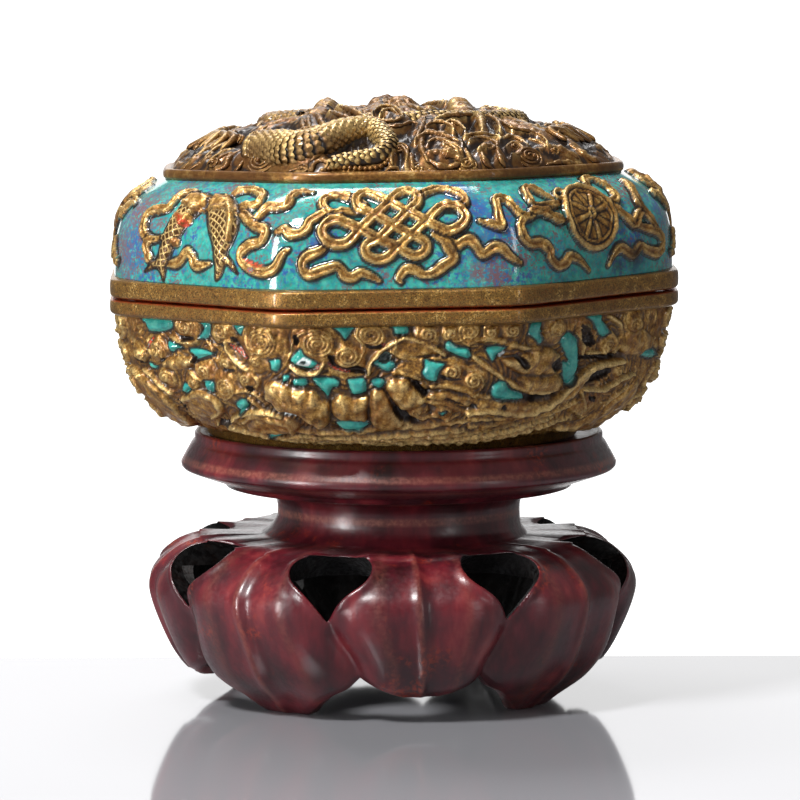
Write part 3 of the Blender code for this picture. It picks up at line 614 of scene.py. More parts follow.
def gilded(name, gilt_all=False, speckle=0.3, mottled=1.0, hollow_shade=0.96, brown=0.0, woven=False):
    """Fired gilding and turquoise enamel on glazed porcelain.

    The gold is worn to brown in fine specks, with a painted highlight on the high spots of the relief
    and painted shade in its hollows, and half metallic, so that it gleams softly. The enamel is opaque
    and glassy, and breaks into blue and purple clouds. Vermilion shows where the gold has rubbed off.
    A dark line layer, in part painted shade round the relief, darkens the colour, and white gives the
    eyes and painted glints.
    """
    look = Look(name)
    add = look.add
    layer = {key: add("Attribute", [], "Fac", attribute_name=key) for key in (
        "gold", "cavity", "crest", "shade", "line", "red", "white", "blue", "purple", "flank", "weave_left",
        "weave_right")}
    tall_place = add("Mapping", {"Vector": look.place, "Scale": (1, 1, 1.3)})
    fine, middle, broad, dots, tarnish, specks, clouds, blue_grain, purple_grain, grit, pull, stains = (
        add("TexNoise", [place or look.place, None, per_mm(period), detail, rough])
        for period, detail, rough, place in (
            (0.42, 3, 0.65, None), (1.7, 4, 0.6, None), (8.0, 3, 0.55, None), (0.34, 3, 0.8, None),
            (10.0, 2, 0.5, None), (0.26, 2, 0.7, None), (9.0, 3, 0.6, None), (0.9, 4, 0.75, None),
            (0.55, 3, 0.75, None), (0.5, 3, 0.6, None), (3.5, 2, 0.5, None), (7.0, 3, 0.5, tall_place)))
    streaked, dotted, bright, tarnished, specked, shaded_hollows, bluish, purplish, dark_lines_and_shade, rubbed, shiny, satin = (
        add("MapRange", values, interpolation_type="SMOOTHSTEP") for values in (
            (broad, 0.46, 0.64, 0.0, 0.6), (dots, 0.47, 0.56), (fine, 0.3, 0.6, 0.3, 0.9),
            (tarnish, 0.42, 0.58, 0.15, 0.75), (specks, 0.5, 0.62, 0.0, speckle),
            (layer["cavity"], 0.12, 0.75, 0.0, hollow_shade), (clouds, 0.44, 0.62, 0.25, 0.95),
            (stains, 0.46, 0.6, 0.35, 0.95), (layer["line"], 0.15, 0.9, 0.0, 0.92),
            (fine, 0.4, 0.56, 0.1, 1.0), (layer["cavity"], 0.1, 0.7, 0.62, 0.2), (fine, 0.3, 0.7, 0.3, 0.52)))
    crests, shaded, reddened, coarse_part, fine_part = (
        add("Math", pair, operation="MULTIPLY") for pair in (
            (layer["crest"], bright), (layer["shade"], 0.8), (layer["red"], rubbed), (middle, 0.6),
            (fine, 0.4)))

    # Gold: a share, what lies under and what lies over, where None is the gold so far
    gold = add("ValToRGB", [add("Math", [coarse_part, fine_part], operation="ADD")], stops=[
        (0.36, "#4A2E12"), (0.45, "#845A28"), (0.54, "#AF8038"), (0.64, "#E0BA72"),
    ])
    coats = [(streaked, None, "#8A5522"), (brown, None, "#5E3A16")]
    if speckle > 0.5:
        coats.append((dotted, "#82622F", None))
    # Painted highlight on the high spots of the relief.
    coats.append((crests, None, "#EACB86"))
    if brown:
        coats.append((tarnished, None, "#5E3A16"))
    coats += [(specked, None, "#3E2B18"), (shaded, None, "#3A2413")]
    # The fish's crossed lines: a painted highlight on the lines and painted shade in the cells between.
    if woven:
        one, other = (add("Math", [add("Math", [layer[key], 2 * math.pi / WEAVE], operation="MULTIPLY")],
                          operation="COSINE") for key in ("weave_left", "weave_right"))
        crossed = add("Math", [one, other], operation="MAXIMUM")
        lines = add("MapRange", [crossed, 0.35, 0.9], interpolation_type="SMOOTHSTEP")
        between = add("Math", [1.0, lines], operation="SUBTRACT")
        cells = add("Math", [layer["flank"], between], operation="MULTIPLY")
        thin = add("Math", [lines, 0.6], operation="MULTIPLY")
        coats += [(add("Math", [layer["flank"], thin], operation="MULTIPLY"), None, "#EACB86"),
                  (add("Math", [cells, 0.85], operation="MULTIPLY"), None, "#4A2E14")]
    # Painted shade in the hollows: near black, or a softer brown.
    coats.append((shaded_hollows, None, "#1A110C" if hollow_shade > 0.9 else "#3A2412"))
    for amount, under, over in coats:
        gold = add("Mix", {0: amount, 6: under or gold, 7: over or gold}, 2, data_type="RGBA")

    enamel = add("ValToRGB", [middle], stops=[(0.3, "#1C7672"), (0.5, "#2F9A8E"), (0.72, "#54B4A0")])
    for key, zone, speck, start, closing, code in (
        ("blue", bluish, blue_grain, 0.47, 0.13, "#2F5492"),
        ("purple", purplish, purple_grain, 0.5, 0.12, "#6E5258"),
    ):
        zone = add("Math", [zone, layer[key]], operation="MAXIMUM")
        closed = add("Math", [layer[key], closing], operation="MULTIPLY")
        speck = add("Math", [speck, closed], operation="ADD")
        speck = add("MapRange", [speck, start, 0.6], interpolation_type="SMOOTHSTEP")
        zone = add("Math", [zone, mottled], operation="MULTIPLY")
        share = add("Math", [speck, zone], operation="MULTIPLY")
        enamel = add("Mix", {0: share, 6: enamel, 7: code}, 2, data_type="RGBA")

    tone, metallic, rough = gold, shiny, satin
    if not gilt_all:
        tone = add("Mix", {0: layer["gold"], 6: enamel, 7: gold}, 2, data_type="RGBA")
        metallic, rough = (
            add("Math", [layer["gold"], value], operation="MULTIPLY") for value in (shiny, satin))
        rough = add("Math", [rough, 0.08], operation="MAXIMUM")
    # Dark lines, in part painted shade round the relief; vermilion; and white for the eyes and painted
    # glints.
    for amount, code in ((dark_lines_and_shade, "#20140F"), (reddened, "#B93C1E"), (layer["white"], "#DDE3E2")):
        tone = add("Mix", {0: amount, 6: tone, 7: code}, 2, data_type="RGBA")
    normal = None
    bumps = [(grit, 0.3 if gilt_all else 0.16, 0.00009), (pull, 0.12, 0.0003)]
    if woven:
        bumps.insert(1, (cells, 0.6, -0.00025))
    for height, strength, deep in bumps:
        normal = add("Bump", {"Height": height, "Strength": strength, "Distance": deep, "Normal": normal})
    look.finish(Base_Color=tone, Metallic=metallic, Roughness=rough, Coat_Weight=0.25, Coat_Roughness=0.07,
                Normal=normal)
    return look


def across_flats(points):
    """How far points reach toward the nearest of the octagon's eight flats."""
    x, y = abs(points[..., 0]), abs(points[..., 1])
    return np.maximum.reduce([x, y, (x + y) * math.sqrt(0.5)])


def shaped(points, relief, limit=49.95):
    """Rows of points moved out by their relief, but never past the flats of the octagon."""
    lift = relief.lift.reshape(points.shape[:2])
    spare = np.maximum(0.25, limit - across_flats(points))
    lift = np.where(lift > 0, spare * np.tanh(lift / spare), lift)
    carved = points + outward(points) * lift[..., None]
    carved[..., :2] *= np.minimum(1.0, limit / across_flats(carved))[..., None]
    return carved


def hollows(lift, shape, reach, deep):
    """Layers of painted shade for what lies lower, and of painted highlight for what stands higher, than its
    surroundings.
    """
    lift = lift.reshape(shape)
    rest = blurred(blurred(lift, reach), reach)
    wide = blurred(blurred(lift, 3 * reach), 3 * reach)
    return {"cavity": np.clip((rest - lift) / deep, 0, 1),
            "crest": np.clip((lift - rest) / deep - 0.25, 0, 1),
            "shade": np.clip((wide - lift) / (2.2 * deep), 0, 1)}


def shell(name, grid, relief, lining, reach, deep, look):
    """A closed wall with its carving outside and a plain lining within."""
    rows = lean(np.concatenate([shaped(grid, relief), lining]))
    layers = {**relief.layers, **hollows(relief.lift, grid.shape[:2], reach, deep)}
    layers = {key: np.append(np.ravel(value), np.zeros(lining[..., 0].size)) for key, value in layers.items()}
    return make(name, rows.reshape(-1, 3), net(*rows.shape[:2], close=True), [], layers, [look.material])


def moved(points, by):
    """A line or an outline, moved along the panels."""
    return [(s + by, v) for s, v in points]


bowl_line = rounded([(33.4, 48.9), (37.4, 50.04), (40.8, 52.1), (43.6, 55.0), (45.4, 57.8), (46.4, 60.95),
                     (47.0, 64.06), (47.6, 67.2), (48.2, 70.5)])
bowl_tall = run(bowl_line)[-1]
bowl_s = dense_front(63.0, 0.24, 0.45)
down = np.concatenate([np.linspace(bowl_tall, 18.3, 25, endpoint=False), np.linspace(18.3, 0, 71)])
square = np.minimum(1.0, 0.15 + 1.15 * (1 - down / bowl_tall))
square[0] = 0.0
bowl_grid = around(sampled(bowl_line, bowl_tall - down), bowl_s, square)
S, V = np.meshgrid(bowl_s, down)
bowl = Relief(S, V, AROUND, ("gold", "line", "glaze", "red", "white"))
bowl.layers["gold"][:] = 1.0
rng = np.random.default_rng(7)

# Curled clouds: lengths along the panels, depth under the rim, and radius. The hidden corners
# of the bowl have theirs in four rows.
CURLS = [
    (-43, 0.9, 2.1), (-34, 1.5, 1.8), (-24.9, 2.9, 3.2), (-13.9, 2.9, 2.9), (-4.6, 1.5, 2.7),
    (-8.7, 5.2, 2.2), (5.1, 1.6, 1.5), (12.2, 1.2, 1.8), (20.1, 1.3, 1.4), (30, 1.6, 1.8),
    (-51.6, 5.8, 1.7), (-57.1, 6.8, 1.1), (-39.7, 9, 1.5), (-33.7, 7.2, 1), (-50.5, 10.7, 1.2),
    (-43.2, 11.4, 1.2), (-35.1, 11.8, 2.1), (-29.4, 9.8, 1.1), (-26.5, 6.3, 1.2), (9.5, 8.4, 1.6),
    (13.5, 9.9, 1.6), (3.6, 15.6, 1.1), (50.6, 2.7, 1.8), (41.7, 17.4, 1.4), (48.6, 10.5, 0.9),
    (-62, 1.3, 1.2), (-35.8, 18.9, 1.1), (9, 1.6, 1.2), (15.9, 1.5, 1.2), (37.7, 2.9, 1.2),
    (8.7, 15.8, 1.1), (68, 12.8, 1.1), (65.4, 16.8, 1.1), (44.3, 5.7, 1.2), (26.1, 3, 1.1),
]
corner_curls = []
for middle in (79.5, -79.5):
    for level, size, many in ((2.0, 2.0, 8), (6.8, 2.3, 7), (12.2, 2.5, 6), (18.0, 2.6, 5)):
        for n in range(many):
            corner_curls.append((middle + 37 * ((n + 0.5) / many - 0.5) + rng.uniform(-1, 1),
                                 level + rng.uniform(-0.7, 0.7), size * rng.uniform(0.75, 1.1)))
every_curl = CURLS + [(s + AROUND / 2, v, size) for s, v, size in CURLS] + corner_curls
best = np.full(bowl.x.size, 1e9)
for s, v, size in every_curl:
    away = (bowl.x - s + AROUND / 2) % AROUND - AROUND / 2
    best = np.minimum(best, np.hypot(away, bowl.y - v) - size)
bowl.lift += 0.2 * np.cos(2 * np.pi * best / 0.95) * smooth_step((bowl.y - 0.2) / 0.6)

# The beast's chin, cheeks and brow, with broad waves at both sides: outline, rise, roundness.
MOUNDS = [
    ([(-25.6, 11.5), (-24.9, 10.3), (-22.9, 9.8), (-20.7, 10.3), (-19.2, 11.1), (-16.8, 11.2),
     (-15.1, 11.4), (-13.8, 12.8), (-12.4, 13.8), (-12.6, 15.8), (-13.5, 18.4), (-15.3, 19.6),
     (-17.7, 18.6), (-19.6, 16.2), (-22.8, 15.9), (-24.6, 14.1), (-25.8, 12.9)], 1.9, 2.2),
    ([(-12.3, 13.8), (-10.8, 12.3), (-9, 12.4), (-7.2, 12.8), (-5.5, 12.4), (-5.2, 13.3), (-5.5, 15.6),
     (-5.8, 17.7), (-7.6, 17.8), (-10.2, 17.7), (-12, 16.8), (-12.4, 15.6)], 1.7, 2.2),
    ([(-5.1, 12.8), (-4.5, 11.4), (-2.7, 11.4), (-1.6, 13), (-0.7, 15.1), (0.5, 17.4), (1.2, 19.1),
     (-1.2, 20.2), (-3.6, 20.1), (-5.2, 18.4), (-5.4, 15.1)], 1.4, 2),
    ([(-1.8, 9.8), (-0.4, 9.3), (1.7, 9.4), (2.7, 10.8), (4.1, 12), (5.3, 12.8), (4.7, 14.1), (3, 15.1),
     (1.2, 15.3), (0, 14.7), (-1.2, 12.8), (-2.2, 11.2)], 1.8, 2.2),
    ([(-1.3, 3.1), (1.1, 2.4), (3.8, 3), (7.4, 5), (4.4, 5.4), (1.1, 6.1), (-0.9, 5.2)], 0.8, 1.2),
    ([(1.1, 6.3), (4.4, 5.7), (7.2, 9.6), (5.9, 10.2), (3.8, 9.6), (1.7, 8.8), (-0.3, 9), (-1.2, 8.2)],
     0.7, 1.2),
    ([(-50.8, 7.9), (-48.7, 7), (-46.3, 6.6), (-43.8, 6.6), (-42.4, 6.9), (-42.4, 7.9), (-44.4, 8.8),
     (-47.1, 9.3), (-49.9, 9.2)], 0.9, 1.3),
    ([(22.2, 10), (24, 9.4), (28.8, 10), (32.9, 10.2), (34.1, 12.3), (32.4, 12.9), (29.6, 12.8),
     (25.8, 12.8), (24.5, 12.8), (23.1, 11.4)], 1, 1.6),
    ([(18.5, 6.5), (21.9, 6), (25.2, 5), (28.8, 5), (32.1, 6.6), (32.1, 9.3), (28.5, 9.8), (23.6, 9.3),
     (20.6, 8.2)], 0.9, 1.4),
    ([(13.1, 13.7), (17, 13.3), (24, 14.5), (29.1, 14.7), (32.9, 14.1), (36, 12.2), (37.5, 10), (40.4, 9),
     (44.9, 8.2), (49.1, 8.4), (47.6, 9.6), (43.8, 9.9), (40.8, 10.7), (39.5, 12.8), (37.1, 14.8),
     (33, 16.2), (27.6, 16.6), (20, 16.1), (15.5, 15.6), (12.9, 14.8)], 1.2, 1.6),
    ([(41.6, 24), (45.9, 22.3), (48.5, 19.3), (51.3, 16.2), (54.2, 13.9), (56.4, 12.8), (59.1, 16.1),
     (59.3, 19.8), (60.5, 24.3), (56.4, 26.2)], 1, 1.4),
    ([(-61.2, 9.4), (-58, 10.3), (-55.3, 12.4), (-53.5, 14.7), (-52.8, 17.4), (-52.8, 20.1), (-55, 23.2),
     (-63, 24.3), (-63, 21.6), (-63, 19.2), (-62.7, 14.7), (-63, 12.2)], 1.2, 1.6),
    ([(-34.3, 19.8), (-31.2, 17.4), (-28, 16.3), (-24.3, 16.5), (-21.4, 17.7), (-20.4, 19.5), (-22.5, 21.6),
     (-27.3, 22.5), (-32.4, 22.6), (-35.1, 21.9)], 1.3, 1.6),
    ([(-46.5, 14.1), (-43, 13.2), (-40.3, 13.8), (-38.5, 15.1), (-38.7, 16.9), (-41.4, 18.9), (-44.8, 19.5),
     (-48.1, 19.1), (-48.3, 16.9)], 0.8, 1.4),
    ([(5.6, 12.4), (8.3, 11.7), (11.4, 12.6), (14.9, 13.2), (15, 14.7), (11.9, 14.8), (8.7, 13.9),
     (6.5, 13.9)], 0.8, 1),
    ([(46.7, 4.6), (49.7, 3.4), (53.7, 3.8), (57.9, 5.8), (56.9, 7.9), (52.2, 8.2), (47.9, 7.2)], 0.9, 1.4),
]
# Its whiskers, the edges of leaves, and running water: middle line, half width, rise.
STRANDS = [
    ([(-33.1, 2.5), (-33.1, 4.5), (-31.9, 6.3), (-30.3, 7.5), (-28.8, 8.1)], 0.6, 1),
    ([(-56.8, 9.8), (-55, 10.8), (-53.8, 12.2), (-52.2, 13.3), (-50.7, 14.1)], 0.6, 0.9),
    ([(-63, 10.2), (-63, 13.5), (-61.8, 16.3), (-63, 21.3), (-61.2, 23.1)], 1.2, 1.2),
    ([(-63, 11.1), (-60, 14.5), (-55.3, 16.8), (-54.1, 19.3)], 0.8, 0.9),
    ([(-47.1, 3.1), (-44.5, 3.8), (-41.8, 4), (-40.2, 3.3)], 0.5, 0.7),
    ([(-29.4, 12.3), (-27.9, 12.9), (-26.5, 14.5)], 0.5, 0.6),
    ([(-30.3, 13.7), (-28.9, 14.7), (-27, 16.3)], 0.5, 0.6),
    ([(-28, 9), (-26.8, 10.2), (-27.7, 11.7)], 0.4, 0.6),
    ([(-36.7, 18.4), (-32.5, 16.8), (-27.6, 16.2), (-23.5, 16.9)], 0.6, 1.5),
    ([(-19.2, 7.2), (-17.8, 7.9), (-16.3, 8.4), (-14.5, 8.2), (-13.5, 7.3), (-13, 6.6)], 0.5, 1.1),
    ([(-5.2, 8.4), (-4.9, 6.9), (-4, 5.7), (-2.8, 4.3), (-1.3, 3.3), (0.9, 2.2)], 0.5, 1.2),
    ([(0.9, 2.1), (3.8, 3), (6.3, 4.2), (8.1, 5.4)], 0.5, 1),
    ([(-1.3, 4.5), (1.1, 5.7), (3.8, 6.1), (7.4, 5.7)], 0.4, 0.9),
    ([(-0.3, 8.1), (2.3, 8.8), (3.9, 9.6)], 0.5, 0.9),
    ([(5.6, 12.8), (8.7, 12.3), (12.3, 13.7), (15.2, 15.1)], 0.5, 0.8),
    ([(5.9, 13.7), (9, 14.2), (12.2, 15.8), (15.8, 16.9)], 0.5, 0.8),
    ([(6, 10.9), (9, 10.8), (12.2, 11.7), (14.7, 12.4)], 0.6, 0.8),
    ([(-23.4, 20.6), (-18, 21.8), (-12.4, 21.8), (-4.6, 20.6)], 0.8, 0.8),
    ([(-4.6, 20.4), (0.3, 19.8), (5.1, 19.9), (9.8, 18.8), (16.2, 18)], 0.7, 0.8),
    ([(2.4, 16.3), (4.8, 17.4), (7.1, 16.8), (9.6, 17.7), (12.2, 16.3)], 0.4, 0.7),
    ([(6.3, 6.1), (9, 6.3), (11.6, 7.5), (14.3, 8.5)], 0.4, 0.7),
    ([(13.5, 15.9), (17.4, 15.4), (25.4, 16.6), (31.2, 15.6), (34.8, 13), (38, 10.7), (41.1, 9.3),
     (44.6, 9), (48.6, 8.8)], 0.9, 1.6),
    ([(39.8, 13), (45.5, 13.5), (49.4, 12), (53.4, 11.4)], 0.5, 1.3),
    ([(14.1, 17.7), (23, 18), (28.5, 16.5), (33.6, 13.9), (37.8, 12.4)], 0.5, 0.8),
    ([(14.7, 19.8), (20.6, 19.6), (26.1, 18), (31.8, 16.6), (36.2, 14.8)], 0.5, 0.8),
    ([(12.3, 5.1), (14.6, 6.9), (17.1, 8.5), (20.1, 10.3)], 0.5, 0.8),
    ([(12.2, 3.4), (14.3, 2.7), (17.9, 3), (22.5, 4.5), (26.7, 4.8)], 0.6, 0.8),
    ([(20.1, 10.3), (23.9, 11.8), (28.4, 12.8), (32.9, 12.4)], 0.7, 0.9),
    ([(49.7, 19.5), (50, 16.3), (53.6, 13.7)], 0.5, 0.9),
    ([(43.5, 0.6), (46.7, 2.4), (47.7, 5.4), (45.8, 7.2)], 0.5, 0.9),
    ([(39.3, 13.3), (42.9, 17.1), (43.7, 19.5)], 0.5, 0.9),
    ([(-48, 15.1), (-43, 13.5), (-39.4, 14.4), (-39.1, 16.8), (-42.7, 18.8)], 0.9, 1.2),
    ([(-33.9, 18.9), (-30.3, 17.2), (-26.8, 17.6), (-22.9, 18.9), (-22.6, 21)], 0.9, 1.6),
    ([(0.2, 18.1), (5, 19.8), (9.8, 18.6), (16.2, 18)], 0.4, 0.7),
    ([(15.6, 21.9), (21.5, 19.1), (27.8, 16.5), (36.5, 13.2)], 0.4, 0.7),
    ([(17.3, 20.4), (26.7, 19.5), (36, 17.2), (42.2, 14.4)], 0.4, 0.7),
    ([(40.7, 0.9), (44.3, 3.4), (46.5, 5.8), (43.5, 6.8), (39.3, 6.8)], 0.5, 0.8),
    ([(35.4, 3.1), (38, 5.1), (37.8, 7)], 0.4, 0.7),
    ([(6.6, 10.7), (11, 11.1), (14.4, 12.6), (19.1, 13.3)], 0.5, 0.8),
    ([(4.8, 13.5), (9.6, 15.3), (13.7, 16.2), (19.4, 17.4)], 0.4, 0.7),
    ([(-18.1, 13.3), (-16.3, 15.6), (-15.4, 18.6)], 0.3, 1.9),
    ([(-35.1, 13.5), (-31.5, 12.3), (-28.6, 12.4), (-26.8, 13.8)], 0.4, 0.7),
    ([(-43.2, 9.3), (-41.1, 10.7), (-37.3, 9.9)], 0.4, 0.7),
    ([(-53.4, 4), (-53.4, 5.8), (-55.8, 8.2)], 0.4, 0.7),
    ([(-22, 22.8), (-14, 23.4), (-4, 23), (6, 21.6), (14, 20.8)], 0.6, 1.1),
    ([(-26, 24.6), (-15, 25.2), (-4, 24.8), (7, 23.4), (16, 22), (26, 19.4)], 0.5, 1),
    ([(-8, 26.8), (4, 26), (15, 24.2), (25, 21.8), (35, 18.4)], 0.6, 1.1),
    ([(10, 27.2), (20, 25.4), (31, 22.4), (41, 19)], 0.5, 1),
    ([(-44, 21.4), (-36, 24.2), (-26, 26.4), (-14, 27.2)], 0.6, 1),
]
# Deep hollows, sunk and painted near black
HOLLOWS = [
    [(-45.9, 1.9), (-44.2, 2.7), (-41.5, 2.7), (-41.7, 3.4), (-43.9, 3.8), (-45.3, 3)],
    [(-38.4, 3), (-35.8, 3.6), (-33.7, 3.6), (-34.5, 4.3), (-35.8, 3.9), (-37.6, 3.6)],
    [(-32.2, 2.4), (-31, 2.5), (-29.8, 4), (-28, 6.1), (-28.9, 5.8), (-30.9, 3.9)],
    [(-50.7, 7.3), (-49, 7.3), (-49.8, 7.9), (-50.7, 8.1)],
    [(-60.3, 7.8), (-55.3, 8.4), (-56.1, 8.7), (-60, 8.5)],
    [(-42.6, 6.3), (-40.9, 7), (-36.9, 6), (-36.7, 6.3), (-41.1, 7.5), (-42.4, 8.1)],
    [(-50.7, 15.4), (-50.1, 15.9), (-50.1, 17.8), (-51.3, 18.3)],
    [(-42.3, 20.2), (-39.3, 19.9), (-40.6, 21.6), (-45, 22.9)],
    [(-35.1, 8.4), (-33.6, 8.1), (-31.9, 8.4), (-32.7, 8.8), (-34.6, 8.8)],
    [(-30.3, 11.1), (-28.2, 11.1), (-28.8, 12.3), (-29.8, 12)],
    [(-25.5, 11.2), (-24.9, 11.1), (-25.2, 13.3), (-24.4, 15.8), (-25, 15.8), (-25.8, 13.3)],
    [(-18.4, 1.6), (-17.4, 1.6), (-17.1, 2.7), (-18, 3.4)],
    [(-0.9, 14.8), (1.5, 15.6), (2.6, 17.2), (4.7, 18.1), (4.2, 18.8), (1.4, 18.4), (-0.3, 16.6)],
    [(2.4, 9.9), (3.5, 10), (4.7, 11.4), (5.9, 11.5), (4.8, 12.8), (3.6, 11.8)],
    [(8.1, 12.9), (9.5, 13), (12.3, 14.2), (11.3, 14.2), (9.3, 13.5)],
    [(7.5, 8.8), (11.3, 9.6), (10.7, 9.9), (8.1, 9.8)],
    [(-5.7, 3), (-4, 3.3), (-2.4, 3), (-3.1, 4), (-5.1, 3.9)],
    [(-12.3, 5.1), (-11.2, 5.1), (-10.8, 6.5), (-8.8, 7.3), (-7, 6.9), (-5.4, 7.8), (-5.4, 8.5),
     (-7.5, 8.4), (-9.6, 7.9), (-11.4, 7)],
    [(38.7, 12), (40.4, 10.8), (43.7, 9.8), (46.7, 10.2), (45.6, 11.7), (41.6, 12.3)],
    [(24.5, 12.9), (28.5, 13), (32.9, 13.2), (31.1, 14.1), (27.5, 14.7), (25.1, 14.1)],
    [(19.8, 14.7), (20.7, 14.5), (21.2, 15.3), (20.3, 15.4)],
    [(13.2, 14.2), (14.4, 14.1), (14.9, 15), (13.8, 15)],
    [(20.9, 6), (22.8, 6.1), (24.5, 7.6), (23.7, 8.4), (22.4, 7.5)],
    [(29.7, 7.8), (32, 6.6), (32.7, 7.9), (32.9, 9.3), (30.6, 9.2)],
    [(43.2, 15.3), (45.2, 15.4), (46.1, 16.5), (44.1, 16.3)],
    [(37.1, 7), (44.7, 7.3), (47.4, 6.9), (45.6, 8.1), (38.1, 7.8)],
    [(36.6, 1.6), (39, 2.5), (41.3, 5), (39.8, 5.8), (37.2, 4.6)],
]
# Turquoise enamel, with the beast's eyes and teeth among it
PATCHES = [
    [(-54.6, 0.1), (-46.8, 0), (-46.9, 1.9), (-52.3, 2.7), (-53.5, 1.3)],
    [(-39.7, 0), (-36.9, 0), (-37, 1.9), (-38.1, 3.1), (-40.2, 3), (-38.7, 1.1)],
    [(-31.3, 0.1), (-28.5, 0), (-28.8, 0.9), (-29.8, 1.9)],
    [(-47.8, 3.8), (-44.5, 5.1), (-46, 5.4), (-47.5, 6.1), (-48.4, 5)],
    [(-43.2, 5.2), (-41.1, 4.8), (-37, 5.4), (-36.9, 5.8), (-39.6, 6.6), (-40.9, 6.9), (-42.3, 6.3)],
    [(-54.6, 8.2), (-52.3, 9), (-53.4, 9.6), (-54.7, 9.3)],
    [(-46.2, 11.7), (-44.7, 11.8), (-44.8, 13), (-46.6, 13.9), (-47.5, 13.2)],
    [(-40.2, 10.7), (-38.2, 10.7), (-37.9, 11.7), (-38.7, 13), (-40.2, 12.9), (-40.6, 11.8)],
    [(-34.3, 15), (-31.6, 13.7), (-30.9, 15.3), (-33.1, 16.8), (-34, 16.3)],
    [(-23.7, 6), (-21.3, 5.8), (-21.3, 7.3), (-22.3, 8.2), (-23.4, 7.9), (-23.5, 6.6)],
    [(-21.1, 8.7), (-19.6, 8.7), (-20.1, 9.8), (-21.4, 10)],
    [(-31, 23.2), (-26.1, 22.3), (-28.2, 24.3), (-32.2, 25.2)],
    [(-11.2, 0.1), (-10.3, 0), (-7.5, 0), (-7.8, 0.9), (-9, 2.4), (-10, 1.2)],
    [(-1.2, 0), (1.5, 0), (1.7, 1.5), (-0.6, 1.6), (-0.9, 0.6)],
    [(-16.9, 3.8), (-16.2, 5), (-14.2, 6.1), (-14.1, 7), (-15.1, 7.5), (-17.2, 7.2), (-19.2, 6.3),
     (-19, 5.5), (-18, 4.5)],
    [(-4.5, 6.6), (-3.6, 5.8), (-1.3, 6), (-0.3, 6.9), (-0.6, 7.6), (-1.9, 8.2), (-3.6, 7.3)],
    [(-19.2, 9.6), (-18, 9.2), (-16.3, 9.3), (-16.3, 10.5), (-18, 10.8), (-19.2, 10.7)],
    [(-15.3, 9.2), (-14.1, 9), (-11.7, 9), (-10.3, 9.8), (-10.5, 10.8), (-11.7, 11.2), (-12.7, 13),
     (-13.3, 12), (-14.8, 10.3)],
    [(-9, 9.4), (-7.9, 9.2), (-5.8, 9.3), (-5.5, 11.7), (-7.2, 12.4), (-8.2, 12.2), (-8.8, 10.8)],
    [(-4.8, 9.6), (-4, 9.2), (-2.7, 9.3), (-2.2, 10.2), (-3.1, 11.2), (-4.5, 10.7)],
    [(8.1, 3.1), (8.9, 2.7), (10.2, 3.8), (12.3, 4.3), (12.5, 6.1), (10.5, 5.7), (8.4, 4.6), (8, 3.9)],
    [(4.5, 5.8), (6.3, 6.3), (8.3, 6.8), (7.4, 8.2), (6.9, 9.8), (5.9, 9.9), (4.7, 9.3), (4.1, 8.2),
     (4.5, 7.3)],
    [(-12, 18.3), (-5.8, 18.6), (-6, 19.8), (-8.1, 20.8), (-11.1, 20.6)],
    [(7.7, 15.6), (9.2, 15.4), (8.4, 16.3)],
    [(24.2, 0.1), (26.6, 0.3), (26.3, 2.1), (27, 3.8), (26.1, 4.2), (24.6, 2.9), (23.6, 2.1)],
    [(33, 2.7), (34.2, 2.7), (36.2, 4.3), (37.1, 7.2), (37.2, 9.6), (35.7, 11.8), (34.1, 11.4), (32.9, 7.9),
     (34.2, 7.6), (31.7, 4.2)],
    [(37.5, 0.1), (38.6, 0), (41.6, 0), (42, 1.2), (43.8, 2.9), (44, 3.8), (42.6, 4.3), (41.1, 3.3),
     (39.8, 1.6)],
    [(15.2, 4.5), (16.8, 3.9), (19.2, 4.3), (18.6, 5.1), (17.6, 5.7), (16.7, 6.8)],
    [(17, 11.4), (18.3, 10.2), (19.8, 10.3), (21.3, 11.7), (24.5, 12.8), (24.5, 14.1), (18.2, 13.5)],
    [(54.6, 7.5), (58.8, 7.5), (60.5, 9.3), (55.2, 8.7)],
]
# Vermilion showing through, the whites of the eyes, their pupils, and white painted glints
REDS = [
    [(-32.5, 3.3), (-31.8, 3.8), (-30.1, 4.6), (-28.6, 6.1), (-29.5, 6), (-31, 5), (-32.2, 4.2)],
    [(-14.5, 6.9), (-13.8, 6.6), (-13.8, 7.3), (-14.4, 7.5)],
    [(-12.1, 6.3), (-11.2, 7.2), (-8.7, 7.9), (-8.7, 8.2), (-11.2, 7.5), (-12.1, 6.6)],
    [(-2.8, 3.1), (-2.2, 3.1), (-2.5, 3.6)],
    [(21.5, 5.5), (22.1, 5.5), (21.9, 5.8)],
    [(-53.1, 4.5), (-51.6, 3.4), (-52.8, 5.4)],
]
EYE_WHITES = [[(-18.0, 6.5), (-16.6, 5.3), (-15.1, 6.1), (-15.7, 6.9), (-17.2, 6.9)]]
PUPILS = [
    [(-17.3, 6.4), (-16.6, 5.8), (-15.9, 6.2), (-16.4, 6.6)],
    [(-3.5, 6.0), (-3.2, 5.1), (-2.4, 4.7), (-1.5, 5.0), (-1.2, 5.8), (-1.7, 6.5), (-2.8, 6.6)],
]
